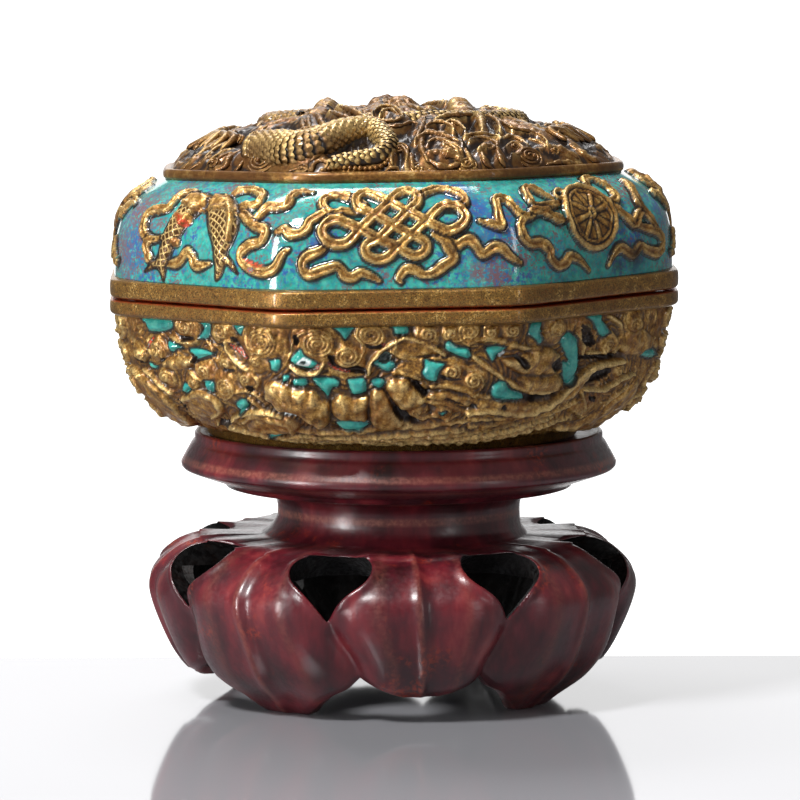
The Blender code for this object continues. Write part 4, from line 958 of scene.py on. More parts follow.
# Painted glints: white highlights painted onto the glaze.
GLINTS = [
    [(-23.2, 16.3), (-19.2, 16.2), (-20.1, 17.0), (-22.8, 16.9)],
    [(17.6, 5.6), (18.7, 4.9), (19.0, 5.2), (18.2, 5.9)],
]
for turn in (0.0, AROUND / 2):
    for outline, rise, soft in MOUNDS:
        bowl.mound(moved(outline, turn), rise, soft)
    for line, half, rise in STRANDS:
        bowl.stroke(moved(line, turn), [half * 0.75, half, half, half * 0.6], rise, cord, ring=0.22)
for i, (s, v, size) in enumerate(every_curl):
    way = 1 if i % 2 else -1
    broad = 1.0 if i < len(CURLS) else 1.9
    bowl.stroke([(s - 0.2, v), (s + 0.2, v)], size * 1.7, 0.75, swell, ring=0.02)
    bowl.stroke(spiral(s, v, size, 30 + 70 * i, max(0.9, size / 0.8 / broad) * way, 0.85, True),
                [0.16 * broad, 0.24 * broad, 0.18 * broad], 0.45 * broad, cord, ring=0.16 * broad, over=True)
bowl.layers["line"] *= 0.45
for turn in (0.0, AROUND / 2):
    for outlines, *finish in (
        (HOLLOWS, -0.9, ("gold", "line"), 0.5, 0.2), (PATCHES, 0.6, ("glaze",), 0.9, 0.26),
        (REDS, 0.1, ("red",), 0.3, 0.15), (EYE_WHITES, 0.1, ("white",), 0.3, 0.1, False, 0.4),
        (GLINTS, -0.2, ("white",), 0.3, 0.15, False), (PUPILS, -0.1, ("line",), 0.3, 0.1),
    ):
        for outline in outlines:
            bowl.patch(moved(outline, turn), *finish)

bowl.lift += worked(bowl.x, bowl.y, 0.09, AROUND, 21) * (1 - 0.8 * np.clip(bowl.layers["glaze"], 0, 1))
inner_line = [(45.0, 70.5), (44.4, 66.0), (43.0, 60.0), (40.0, 55.6), (34.0, 52.4), (33.0, 49.6)]
lining = around(inner_line, bowl_s, [1, 1, 1, 0.7, 0.4, 0.0])

# Gold worn thin over brown, soft painted shade in the hollows, and patches of plain turquoise.
bowl_look = gilded("gilt_relief_with_enamel_patches", mottled=0.12, hollow_shade=0.75)
bowl_skin = shell("bowl_relief", bowl_grid, bowl, lining, 4, 0.5, bowl_look)
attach(bowl_skin, "root")
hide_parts("box")

# Box rim, well and foot
# The plain gilt edge of the bowl, its collar, the smooth glazed well that holds the paste,
# and the low foot ring, all of the same porcelain.

RIM_COLUMNS = 400
rim_s = (np.arange(RIM_COLUMNS) / RIM_COLUMNS - 0.5) * AROUND


def turned_rows(parts):
    """Rows for a profile made of parts with their own plan shape: (line, square, sharpness)."""
    return np.concatenate([around(line, rim_s, square, sharp) for line, square, sharp in parts])


def uneven(rows, seed, size):
    """Small hand-made unevenness in and out."""
    rng = np.random.default_rng(seed)
    angle = panel_angle(rim_s)
    wave = sum(rng.uniform(-1, 1) * np.cos(n * angle + rng.uniform(0, 6)) for n in (3, 5, 9, 14, 23, 37))
    rows[..., :2] *= 1 - (size / 50) * (1 + wave / 4)[None, :, None]
    return rows


def rim_piece(name, rows, low, high, edge, up):
    """A gilt rim in one with its plain inside. Vermilion shows where its meeting edge is rubbed."""
    level, out = rows[..., 2] - RIM_SLOPE * rows[..., 0], np.hypot(rows[..., 0], rows[..., 1])
    layers = {key: np.zeros(rows.shape[:2]) for key in ("cavity", "crest", "line")}
    layers["red"] = np.clip(up * (level - edge) / 0.3, 0, 1) * np.clip((out - 44) / 2, 0, 1)
    return capped(name, rows, low, high, layers, [rim_look.material])


# Gilding rubbed through in many fine dots, so that the brown under it shows evenly.
rim_look = gilded("worn_gilt_rim", gilt_all=True, speckle=0.8)
rim = uneven(turned_rows([
    (rounded([(47.6, 70.1), (49.3, 70.4), (49.9, 70.8), (50.0, 71.3), (50.0, 72.3), (49.9, 72.9),
              (49.2, 73.1), (46.1, 73.1)], 2), 1.0, RIM_SHARPNESS),
]), 3, 0.05)
inside = turned_rows([
    (rounded([(46.1, 73.1), (46.1, 74.9), (45.9, 75.0), (44.5, 75.0), (44.3, 74.9), (43.6, 66.0),
              (42.8, 60.0)], 1), 1.0, RIM_SHARPNESS),
    ([(38.0, 55.0)], 0.7, RIM_SHARPNESS),
    ([(29.0, 52.2)], 0.3, RIM_SHARPNESS),
])
foot = turned_rows([
    ([(29.0, 48.0)], 0.0, RIM_SHARPNESS),
    (rounded([(30.2, 47.1), (30.4, 46.9), (32.6, 46.9), (32.9, 47.1), (33.5, 48.9),
              (35.0, 49.6)], 1), 0.0, RIM_SHARPNESS),
    ([(43.0, 60.0)], 0.8, RIM_SHARPNESS),
    ([(46.4, 69.8)], 1.0, RIM_SHARPNESS),
])
rows = lean(np.concatenate([foot, rim, inside]))
box_rim = rim_piece("box_rim_and_well", rows, (0, 0, 48.0), (0, 0, 52.0), 72.75, 1)
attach(box_rim, "root")
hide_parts("box")

# Lid band
# The side of the lid: turquoise enamel, with one of the eight symbols on each panel and
# ribbons fluttering between them, moulded in relief and gilt, with painted shade as a dark line round each.

band_line = rounded([(49.3, 76.7), (49.2, 80.6), (48.8, 84.1), (48.0, 86.9), (46.6, 89.0), (44.4, 90.9),
                     (41.9, 92.4), (40.1, 93.4)])
BAND_ROWS, BAND_COLUMNS = 76, 1130
band_tall = run(band_line)[-1]
band_s = (np.arange(BAND_COLUMNS) / BAND_COLUMNS - 0.5) * AROUND
band_v = np.linspace(0, band_tall, BAND_ROWS)
band_grid = around(spread(band_line, BAND_ROWS), band_s)
S, V = np.meshgrid(band_s, band_v)
band = Relief(S, V, AROUND, ("gold", "line", "glaze", "red", "blue", "purple", "flank", "weave_left",
                             "weave_right"))

# The endless knot's cord, the points where it passes over (1) or under (0) itself, and the
# ribbons that flutter from the front symbols.
KNOT = [
    (-1.6, 14.5), (1.7, 12.6), (4.8, 10.9), (6.6, 10), (8.6, 9.3), (10.8, 10.2), (11.7, 11.7), (10.5, 13.3),
    (8.4, 13.7), (6.6, 12.6), (4.8, 10.9), (2.3, 8.8), (-0.1, 6.9), (-1.5, 5.5), (-3.1, 5), (-4.9, 5.5),
    (-5.5, 6.8), (-4.8, 7.6), (-3.3, 8.2), (-0.9, 10.3), (1.7, 12.6), (3.2, 13.8), (3.8, 15.3), (2.9, 16.8),
    (1.1, 17.1), (-0.6, 16.1), (-1.6, 14.5), (-4, 12), (-6.4, 9.8), (-7.6, 8.5), (-8.8, 7.6), (-10.8, 7.5),
    (-12.4, 8.5), (-12.9, 9.8), (-12, 10.9), (-10.2, 11.2), (-8.2, 10.5), (-6.4, 9.8), (-3.3, 8.2),
    (-0.1, 6.9), (1.4, 6), (2.9, 5.5), (4.4, 6.1), (4.7, 7.3), (3.6, 8.2), (2.3, 8.8), (-0.9, 10.3),
    (-4, 12), (-5.8, 12.9), (-7.3, 13.9), (-7.5, 15.8), (-6, 16.8), (-3.7, 15.9),
]
CROSSINGS = {0: 1, 1: 0, 2: 1, 10: 0, 11: 1, 12: 0, 18: 1, 19: 0, 20: 1, 26: 0, 27: 1,
             28: 0, 37: 1, 38: 0, 39: 1, 45: 0, 46: 1, 47: 0}
OVER_AND_UNDER = {1: 0.18, 0: -0.2, None: 0.0}
knot_rise = [1.05 + OVER_AND_UNDER[CROSSINGS.get(i)] for i in range(len(KNOT))]
RIBBONS = [
    [(-5.7, 14.1), (-8.2, 15.6), (-11.5, 16.5), (-13.3, 15.9), (-13.6, 14.5), (-12.6, 13), (-11.1, 12.4),
     (-9.3, 12.8), (-6.3, 12.4)],
    [(2, 13.3), (3.8, 15.9), (7.7, 17.9), (11.1, 16.9), (12.3, 14.9), (11.1, 13.6), (8.6, 13.3), (6.2, 13)],
    [(-12, 13), (-13.3, 12.2), (-15.3, 11.2), (-15.7, 10), (-16.8, 9.2), (-18.7, 9.2), (-19.8, 9.8),
     (-21.6, 9.4)],
    [(-11.7, 7.5), (-13, 6.5), (-15.1, 5.7), (-16, 4.8), (-15.9, 3.6), (-14.8, 2.7), (-12.9, 3.3),
     (-10.3, 4), (-9.4, 3.4), (-8.8, 2.5), (-7.5, 2.2), (-6.1, 2.9), (-4, 2.1), (-3.1, 1.5)],
    [(6.2, 9), (7.2, 8.4), (9.6, 7), (10.7, 7.5), (12, 7.8), (13.1, 6.9), (14.1, 5.5), (16.1, 6.5),
     (17.7, 6.3), (19.2, 5), (21.3, 3.9)],
    [(6, 8.7), (7.7, 7.6), (8.7, 6.1), (9.3, 5), (7.5, 3.8), (5.9, 2.7), (4.2, 2.5), (2.7, 3.3), (1.2, 3.3),
     (0.2, 1.9), (0.5, 1.2)],
    [(26.7, 12), (23.7, 11.2), (22.1, 11.7), (21.2, 13.2), (20.1, 14.8), (18.2, 14.7), (17.9, 12.8),
     (17.7, 11.1), (17.9, 10), (16.1, 10.2), (14, 10.8)],
    [(23.7, 11.4), (21.9, 10), (22.1, 8.1), (23.4, 6.9), (25.8, 6.8), (27.6, 5.7), (27.9, 4.3), (29.6, 3),
     (31.5, 3.4), (32.4, 4.3), (34.8, 3.6), (37.2, 1.6)],
    [(31.2, 14.2), (29.1, 16.1), (27, 17.4), (25.7, 16.2), (25.7, 13.9), (26.9, 12.8), (30, 12.9),
     (33.6, 13.3)],
    [(24.9, 12.2), (27.6, 11.8), (30, 10.7), (32.3, 10)],
    [(43.5, 16.6), (44.6, 18.6), (47, 18.6), (47.9, 16.9), (48.3, 14.8), (47.4, 13.2), (44.6, 12.9)],
    [(45, 12.2), (46.7, 10.8), (48.2, 9.6), (49.5, 8.4), (51.3, 10), (54, 11.1)],
    [(49.8, 8.4), (52.8, 7.6), (55.8, 6.8), (57.2, 4.8), (55.5, 3.4), (52.2, 4), (50.4, 4.8), (48.3, 3.6),
     (45.6, 4.8), (43.8, 4.2), (42, 2.1)],
    [(55.5, 17.7), (54.5, 15), (53, 12.3), (53.4, 10.8), (54.2, 9.2), (56.1, 7.6)],
    [(-35.7, 15.8), (-33.7, 17.6), (-30.6, 17.8), (-27.4, 16.5), (-27.4, 14.4), (-30, 13.7), (-33, 13.3)],
    [(-45.3, 16.8), (-47.6, 16.6), (-48.7, 15.1), (-49, 13), (-51.4, 12.4), (-53.4, 11.5), (-53.4, 9.9),
     (-52.8, 8.2), (-50.4, 7.3), (-47.2, 7.8)],
    [(-50.4, 7.3), (-51.7, 6.5), (-51, 4.5), (-49.8, 3.4)],
    [(-46.2, 3.4), (-43.5, 3.8), (-41.7, 5.4), (-40.3, 5), (-39.1, 3.4), (-36, 3.9)],
    [(-32.2, 12.6), (-29.5, 12.2), (-26.7, 10.9), (-25.8, 12.2), (-24.4, 13.7), (-21.9, 13.8),
     (-20.4, 14.4), (-20.4, 16.3), (-19, 17.4), (-16.2, 17.6)],
    [(-30.1, 12), (-26.5, 10.3), (-23.8, 9.6), (-24.4, 7.9), (-27, 7.2), (-28.6, 6), (-28.6, 4.8),
     (-26.8, 3.6), (-23.7, 3), (-21.3, 3.8), (-19.8, 6), (-18.7, 6.6)],
]
for line in RIBBONS:
    band.stroke(line, [0.6, 1.0, 0.85, 1.1, 0.8, 1.05, 0.9, 0.4], [0.7, 0.95, 0.8, 1.0, 0.85, 1.0, 0.6])
band.stroke(KNOT, 0.98, knot_rise, closed=True)

# The wheel: a dished disc with a double rim, eight spokes and a hub.
WHEEL = (39.0, 10.8)
circle = [(math.cos(math.radians(a)), math.sin(math.radians(a))) for a in range(0, 360, 20)]


def ring_of(across, up):
    """A ring round the wheel's middle."""
    return [(WHEEL[0] + across * x, WHEEL[1] + up * y) for x, y in circle]


band.patch(ring_of(6.2, 5.9), 0.55, ("gold",))
band.stroke(ring_of(5.9, 5.6), 0.62, 1.25, cord, closed=True, ring=0.2)
band.stroke(ring_of(4.8, 4.6), 0.3, 1.0, cord, closed=True, ring=0.2)
for n in range(8):
    a = math.radians(45 * n + 14)
    spoke = [(WHEEL[0] + math.cos(a) * across, WHEEL[1] + math.sin(a) * up)
             for across, up in ((0.9, 0.9), (4.6, 4.4))]
    band.stroke(spoke, [0.35, 0.62], [1.05, 0.75], cord, ring=0.25)
band.stroke(ring_of(0.7, 0.7), 0.35, 1.2, cord, closed=True, ring=0.15)
band.stroke([(34.7, 16.0), (34.6, 14.9), (33.2, 14.0), (32.2, 14.5), (33.2, 15.8)], 0.45, 0.9, cord,
            closed=True)


def fish(outline, spine, gill):
    """One of the two fish: a rounded body under crossed lines, with a gill. Their heads meet."""
    band.patch(outline, 1.3, ("gold",), 1.6, 0.35)
    at, gap, side, far, _ = band.trace(spine, 5.0)
    inside = smooth_step(-to_outline(band.x[at], band.y[at], curve(outline, True, 0.3)[0]) / 0.5 - 0.2)
    flank = inside * smooth_step((far - 3.6) / 0.6)
    band.layers["flank"][at] = np.maximum(band.layers["flank"][at], flank)
    for key, way in (("weave_left", -1), ("weave_right", 1)):
        band.layers[key][at] = np.where(flank > 0, far + way * side * gap, band.layers[key][at])
    band.stroke(gill, [0.3, 0.5, 0.3], 0.3, cord, ring=0.12, over=True)


fish([(-46.6, 15.3), (-46.6, 12.9), (-47.2, 10.9), (-47.8, 8.8), (-48.3, 6.8), (-48.9, 4.5), (-50.4, 3.3),
      (-52.0, 1.8), (-49.3, 2.5), (-48.0, 1.8), (-47.1, 0.3), (-46.6, 2.4), (-45.7, 4.2), (-44.7, 6.5),
      (-43.5, 8.2), (-42.3, 10.2), (-40.8, 11.7), (-39.9, 12.9), (-38.8, 14.1), (-39.7, 15.9), (-43.0, 16.9),
      (-45.6, 16.5)], [(-41.1, 15.9), (-43.2, 13.0), (-44.2, 10.2), (-45.6, 7.3), (-46.9, 4.6), (-48.6, 2.7)],
     [(-45.3, 13.7), (-42.3, 12.9), (-39.4, 12.4)])
fish([(-39.6, 13.5), (-38.4, 11.4), (-37.0, 9.0), (-35.7, 6.8), (-35.2, 4.8), (-34.8, 3.3), (-34.6, 1.1),
      (-33.3, 1.9), (-32.2, 3.8), (-30.7, 3.1), (-29.4, 2.5), (-30.6, 4.3), (-31.9, 5.8), (-30.7, 7.8),
      (-30.1, 10.0), (-30.6, 12.3), (-32.7, 14.5), (-36.0, 16.3), (-39.1, 16.8), (-39.9, 15.4)],
     [(-38.2, 16.5), (-35.1, 12.9), (-33.7, 9.9), (-33.4, 7.2), (-33.0, 4.3)],
     [(-39.3, 12.9), (-36.1, 12.6), (-33.3, 13.0)])
band.stroke([(-34.9, 15.3), (-32.4, 12.3), (-31.6, 10.0), (-31.6, 7.9)], [0.5, 0.6, 0.4], 0.35, cord,
            ring=0.15, over=True)
for s, v in ((-42.4, 10.8), (-44.4, 7.0)):
    band.stroke([(s - 0.2, v), (s + 0.2, v)], 0.8, 0.5, cord, ring=0.15, over=True)

# Vermilion showing through, and where the enamel turns blue or purple or is darkened near the relief
# at the right: place, reach, strength
band.patch([(-45.4, 11.5), (-42.7, 10.8), (-42.0, 9.9), (-43.6, 9.6)], 0.0, ("gold", "red"), dark=0.0)
band.patch([(-28.3, 5.2), (-26.4, 4.8), (-24.6, 4.3), (-23.4, 4.0), (-24.6, 3.7), (-26.4, 4.2)], 0.0,
           ("gold", "red"), dark=0.0)
band.patch([(-27.0, 3.4), (-26.2, 3.8), (-25.4, 3.4), (-26.2, 2.9)], 0.0, ("red",), dark=0.0)
TINTS = {
    "blue": [(17.6, 10, 6, 1), (10.8, 17.7, 4.5, 1), (-55.3, 5.9, 7, 0.9), (-13.5, 8.1, 2.5, 0.8),
             (49.5, 4.2, 5, 0.7), (29.6, 3.6, 3.5, 0.6), (14, 13.2, 4, 1), (60, 9, 7, 0.6),
             (15.5, 4.4, 4, 0.9)],
    "purple": [(-37.8, 19.2, 3, 0.9), (-5.4, 18.1, 2, 0.7), (16.2, 1.9, 2.8, 1), (-51.1, 9.6, 3, 0.6),
               (-37.8, 3.6, 3, 0.5), (28.1, 12.8, 3, 0.5), (-22.5, 17.6, 3, 0.5), (52, 15, 4, 0.6),
               (13.4, 2.6, 2.2, 1), (21.8, 5, 2.4, 0.8), (-57, 12.5, 6, 1), (-20, 12, 4, 0.6),
               (-50, 18, 4, 0.9), (-60, 5, 6, 0.9)],
    "line": [(49, 3.2, 3.4, 0.7), (53.5, 12.5, 3.6, 0.6), (58, 16, 4, 0.6), (44.6, 2, 2.6, 0.6)],
}
for name, spots in TINTS.items():
    for s, v, reach, strength in spots:
        for turn in (0.0, AROUND / 2):
            away = (band.x - s - turn + AROUND / 2) % AROUND - AROUND / 2
            band.layers[name] = np.maximum(band.layers[name],
                                           strength * np.exp(-((away ** 2 + (band.y - v) ** 2) / reach ** 2)))

TAIL_START, TAIL_END = 8.6, 18.6


def tails(s):
    """Four ribbon tails that run from a symbol over the corners beside it."""
    for side in (-1, 1):
        for level, swing, flip in ((13.2, 1.7, 1), (5.4, 1.5, -1)):
            line = [(s + side * (TAIL_START + (TAIL_END - TAIL_START) * t),
                     level - 1.2 * t + flip * swing * math.sin(2 * math.pi * 1.4 * t))
                    for t in np.linspace(0, 1, 9)]
            band.stroke(line, [0.6, 1.0, 0.85, 1.1, 0.8, 1.05, 0.4], 0.95)
        bow = ((5.5, 14.0), (8.0, 16.6), (11.0, 17.6), (12.8, 16.0), (11.0, 14.4), (6.5, 13.6))
        band.stroke([(s + side * x, y) for x, y in bow], 0.85, 0.9)


# The hidden panels: conch, vase, parasol, lotus and banner, each between its ribbon tails
SHELL_AT, VASE_AT, PARASOL_AT, LOTUS_AT, BANNER_AT = (k * PANEL for k in (2, 3, 4, -2, -3))
for s in (SHELL_AT, VASE_AT, PARASOL_AT, BANNER_AT, LOTUS_AT):
    tails(s)
hidden = [
    (SHELL_AT, [(0, 17.0), (0, 12.6), (0.4, 8.6), (0.8, 3.0)], [2.4, 4.0, 2.8, 0.8], 1.35, {}),
    (0.0, spiral(SHELL_AT - 0.4, 13.6, 3.2, 0, 1.4, 0.7), [0.5, 0.35], 0.35, {"over": True, "ring": 0.15}),
    (VASE_AT, [(0, 16.4), (0, 12.4), (0, 8.4), (0, 5.0)], [2.6, 4.0, 3.4, 1.6], 1.35, {}),
    (VASE_AT, [(-3.2, 3.4), (3.2, 3.4)], 1.0, 1.2, {}),
    (VASE_AT, [(-2.4, 17.0), (2.4, 17.0)], 0.8, 1.25, {}),
]
hidden += [(PARASOL_AT, [(0, 16.8), (n * 1.0, 14.6), (n * 1.9, 10.4)], [0.5, 1.1, 1.2], 1.2, {"ring": 0.2})
           for n in range(-3, 4)]
hidden += [(PARASOL_AT, [(-6.4, 10.0), (6.4, 10.0)], 0.8, 1.2, {}),
           (PARASOL_AT, [(0, 10.0), (0, 2.4)], 0.8, 1.0, {})]
for n in range(-2, 3):
    a = math.radians(90 - 34 * n)
    petal = [(r * math.cos(a), middle + r * math.sin(a))
             for r, middle in ((1.2, 8.0), (4.2, 8.6), (7.4, 8.6))]
    hidden.append((LOTUS_AT, petal, [1.2, 1.9, 0.4], 1.25, {"ring": 0.25}))
hidden += [(LOTUS_AT, [(0, 8.0), (0, 2.4)], 0.8, 1.0, {}), (BANNER_AT, [(0, 17.2), (0, 3.6)], 2.7, 1.1, {})]
hidden += [(BANNER_AT, [(-3.8, y), (3.8, y)], 0.9, 1.35, {}) for y in (5.0, 9.0, 13.0, 16.6)]
for at, line, half, rise, ways in hidden:
    band.stroke(moved(line, at), half, rise, cord, **ways)

band.lift += worked(band.x, band.y, 0.07, AROUND, 22) * np.clip(band.layers["gold"], 0, 1)
inner = [(39.6, 92.2), (43.4, 90.2), (45.6, 88.4), (47.0, 86.0), (48.0, 82.0), (48.3, 77.4)]

# Glassy turquoise, clouded with blue and purple, under gilt relief with painted highlights on its
# high spots and painted shade in its hollows and as dark outlines.
band_look = gilded("turquoise_enamel_with_gilt_relief", woven=True)
band_skin = shell("lid_band", band_grid, band, around(inner, band_s), 2, 0.45, band_look)
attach(band_skin, "root")
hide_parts("lid")

# Lid rim and inside
# The gilt edge of the lid, which rests on the box's rim, and the lid's plain hollow behind it.
# Both are of the lid's own porcelain, thrown and trimmed smooth before the glaze and the gold.

rim = uneven(turned_rows([
    (rounded([(46.4, 73.4), (49.3, 73.4), (49.9, 73.7), (50.0, 74.4), (50.0, 75.7), (49.9, 76.4),
              (49.4, 76.7), (48.2, 76.9)], 2), 1.0, RIM_SHARPNESS),
    ([(48.0, 80.0), (47.0, 85.6), (45.0, 88.4), (42.0, 90.8), (39.4, 92.6)], 1.0, GLAZE_SHARPNESS),
]), 5, 0.05)
ceiling = turned_rows([
    ([(16.0, 99.5)], 0.2, RIM_SHARPNESS),
    ([(27.0, 97.8)], 0.5, RIM_SHARPNESS),
    ([(36.0, 92.4)], 0.8, RIM_SHARPNESS),
    ([(41.4, 88.2), (45.4, 82.0), (46.4, 73.4)], 1.0, RIM_SHARPNESS),
])
rows = lean(np.concatenate([ceiling, rim]))
lid_rim = rim_piece("lid_rim_and_inside", rows, (0, 0, 100.0), (0, 0, 96.0), 73.75, -1)
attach(lid_rim, "root")
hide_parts("lid")

# Dome
# The top of the lid, moulded in one with it: scaled dragons coiled among curled clouds in high
# relief, gilt and glazed, with painted shade near black in the hollows. A thin gilt lip runs round its
# border.

DOME_APOTHEM, DOME_FOOT, DOME_RISE = 39.3, 94.9, 8.6
DOME_ROWS = 112
HALVES = (0, 180)
SCROLL_TILT = math.radians(52)
# Cords of the relief: plan path in millimetres, height over the dome (one, or one for each point), radius
CORDS = [
    ([(-33.4, -20.8), (-32.2, -19), (-30.8, -17.4), (-28.8, -15.8)], 1.6, 0.5),
    ([(-32.8, -22.6), (-31.4, -21.8), (-29.8, -21), (-28.2, -21.2)], 1.8, 0.5),
    ([(-31.4, -23.4), (-30, -23.2), (-28.6, -23)], 2, 0.5),
    ([(-30.4, -25), (-29.4, -25.4), (-28.2, -24.2), (-27, -23.6)], [0.5, 2, 2, 2], 0.9),
    ([(-32.4, -23), (-30.6, -24.8), (-29.2, -25.6), (-28.6, -23.8)], [0.1, 1.1, 1.6, 1.6], 1),
    ([(-37, -17.6), (-35.4, -17.4), (-33.2, -15.6), (-31.2, -13.2), (-29.2, -11.8)],
     [0.7, 1.2, 1.2, 1.2, 1.2], 0.8),
    ([(-36.4, -18.4), (-34.6, -19.8), (-33, -20.2)], [-0.2, 0.8, 0.8], 0.6),
    ([(-33.2, -14.8), (-31, -11.4), (-28.4, -6.6), (-26, 4.2)], 1.5, 0.8),
    ([(-29.2, 0.4), (-27, 6.4), (-24.4, 6.4), (-23.2, 4.6)], [1.6, 1.6, -1.4, 1.6], 0.8),
    ([(-25.4, -21.2), (-24.4, -19.8), (-23.2, -22.2), (-22, -20.8), (-20.8, -23.8), (-19.8, -23),
     (-18.2, -26.8), (-17, -26.6), (-15.8, -29.4)], 3.6, 0.5),
    ([(-26, -20), (-24.8, -23.4), (-24.2, -27.2)], 2.6, 0.6),
    ([(-17.2, -25.2), (-15.6, -24), (-13.8, -25.4), (-12.4, -25.8), (-12, -27.8), (-13.4, -28.2),
     (-15.6, -26.6)], 3.2, 0.5),
    ([(-23.8, -7.4), (-22, 5.4), (-20, 5), (-17.8, -4.4), (-16.6, -10.2)], 2, 0.8),
    ([(-23.2, -13.6), (-20.8, -11.4), (-18.6, -11.6), (-16.4, -14.6)], 2, 0.6),
    ([(-16.2, -15.4), (-16, -21.4), (-15.6, -26)], 3, 0.7),
    ([(-15, -13.6), (-15, -20.8), (-14.6, -26.2)], 3.2, 0.6),
    ([(-13.6, -13.2), (-12.8, -22.2), (-12, -28)], 3.4, 0.8),
    ([(-9.8, -5.6), (-7.8, -13.2), (-5.8, -19.8), (-4, -24.2), (-3, -27.2)], 3.2, 0.9),
    ([(-11.2, -11.4), (-9.6, -17.4), (-7.8, -21.6), (-6.2, -24.6)], 3, 0.7),
    ([(-4, -20.6), (-2.6, -16), (-0.8, -15.2), (0.8, -19.4), (1.2, -23.6), (-0.2, -26), (-2.2, -25.8),
     (-3.8, -24), (-4, -20.6)], 3.8, 0.6),
    ([(-2.6, -19.8), (-0.8, -17.4), (0.4, -20.6)], 3.6, 0.5),
    ([(-2.8, -26.2), (-1, -28), (1, -27.6), (2.8, -26), (4.4, -27.2)], 3.4, 0.6),
    ([(-14.4, -38.4), (-14.4, -38.2), (-13.6, -37.6), (-12.6, -37.6), (-11.8, -38.4), (-12.2, -38.8),
     (-13.2, -38.6)], [0.5, 2, 2, 2, 2, 1.5, 1], 0.7),
    ([(-13.6, -38.6), (-12.8, -38.8), (-11.6, -38.8)], [-0.4, 1.1, 1.1], 0.6),
    ([(-15, -37.6), (-13.8, -36.8), (-12.6, -36.4)], 2.2, 0.5),
    ([(-2.2, -39.2), (-1.2, -39.2), (0, -39.2), (0.6, -39.2)], [0.2, 1.2, 1.2, -0.3], 0.5),
    ([(-0.8, -33.4), (-0.6, -36.2), (-1, -38.2), (-0.8, -39.2)], [2.4, 2.4, 2.4, 1.9], 0.7),
    ([(0.2, -33.8), (1.2, -35.6), (1.8, -37.4), (1.6, -39)], 2.4, 0.5),
    ([(3.8, -32.8), (5.4, -31.2), (7.6, -32), (9.6, -33.6), (11.4, -35.2)], 3.6, 0.9),
    ([(5.4, -35), (6.8, -34), (8.2, -34.6), (10, -36), (11.2, -37.2)], 3.6, 0.7),
    ([(5.6, -37.6), (7.4, -37.2), (9, -37.6), (10.4, -38.2), (11, -39)], 3.2, 1.4),
    ([(5.2, -38.6), (7, -39.2), (8.6, -39.2), (10.4, -39), (11.4, -38.6)], [2.6, 2.1, 1.6, 2.1, 2.6], 0.9),
    ([(5.2, -39.2), (6.8, -39.2), (8.6, -39.2)], [1.5, 0, 0], 0.9),
    ([(4.8, -31.4), (4.2, -35.4), (4.8, -38), (5.4, -39.2)], 2.8, 0.8),
    ([(5.2, -22.8), (4.6, -27.6), (4, -30.6), (3.2, -33.8)], 3.2, 0.7),
    ([(10, -29), (8.4, -26.6), (6.6, -26.6), (5.2, -28.2)], 3.6, 0.6),
    ([(2.4, -36.8), (2.6, -38.8), (3, -39.2)], [1.8, 1.8, 0.3], 0.6),
    ([(8, -36), (9.4, -36.8), (10.6, -38)], 4, 0.45),
    ([(7, -24.4), (8.8, -22), (10.6, -20.6), (12.4, -19), (14.6, -17.4)], 3.6, 0.8),
    ([(8.4, -25.8), (9.8, -24.4), (11, -26), (12, -29)], 3.2, 0.6),
    ([(14.8, -14.6), (15, -21.4), (15, -27.6)], 3.2, 1),
    ([(15.8, -15), (17, -16.8), (18, -20), (18.2, -25.2)], 3.2, 0.6),
    ([(17.4, -15.6), (19, -19.2), (20.4, -21.6), (22, -21.6), (23.6, -21.4), (25.2, -21.8), (26.2, -23.6),
     (26.4, -25.2)], 3, 0.55),
    ([(20.6, 4.4), (22.2, -10.8), (24.8, -13), (27.6, -14.6), (30, -16.4), (31.4, -18.4)], 1.6, 1.5),
    ([(24.2, -28), (26.4, -24.4), (28.6, -23.2), (30.8, -23), (32, -23)], 1.8, 1.2),
    ([(29, -17.2), (31.4, -19.4), (33.6, -20.6), (35.4, -19.8), (37, -17.6)], [1.2, 1.2, 1.2, 1.2, -0.3],
     0.9),
    ([(26, -29.4), (28.8, -26.4), (31.8, -23.6), (34.2, -21.2)], [1, 1, 0.5, -0.5], 0.8),
    ([(12.6, -32.6), (14.4, -30.6), (16.2, -30.6), (17.4, -32.2), (16.4, -34.4), (14.6, -34.8)], 2.6, 0.6),
    ([(18, -29.4), (19.8, -25.8), (21.6, -26), (23, -28.2)], 2.4, 0.7),
    ([(18.8, -32), (20.2, -28.6), (21.8, -29.2), (21.2, -32.4), (19.8, -33.8)], 2.2, 0.5),
    ([(23.4, -23.4), (25.2, -23.8), (26.4, -25.6)], 2, 0.6),
    ([(12, -31), (13.8, -29.4), (16, -28.6), (18, -28.4)], 2.8, 0.6),
    ([(14, -36), (15, -34.2), (16.4, -33.2), (17.6, -34)], 2.6, 1),
    ([(14.4, -35.2), (15, -37.6), (15.8, -37.8), (16.8, -37.4)], [2.2, 2.2, 1.2, 0.2], 0.75),
    ([(17.2, -33.4), (17.8, -36), (18.4, -36.4), (18.8, -36)], [2.2, 2.2, 1.7, -0.3], 0.75),
    ([(17.6, -37), (19.2, -35.8), (20.2, -35)], [-0.1, -1.1, -1.1], 0.5),
    ([(11.8, -35.8), (12.4, -37.6), (13.2, -38.6)], [2.2, 2.2, 1.2], 0.7),
    ([(9.8, -39), (11.6, -38.8), (13.4, -38.6), (15.2, -38)], [-0.6, 0.4, 0.4, -1.1], 0.6),
    ([(-28.2, -27.2), (-27, -28.4), (-26, -27.4)], [-0.4, 1.6, 1.6], 0.6),
    ([(-19.2, -35.8), (-16.6, -37.2), (-14.4, -38.4)], [0.2, 1.2, 0.7], 0.6),
    ([(-18.4, -36.4), (-16.4, -37.6), (-15, -38.2)], [0, 0.5, 0], 0.4),
]
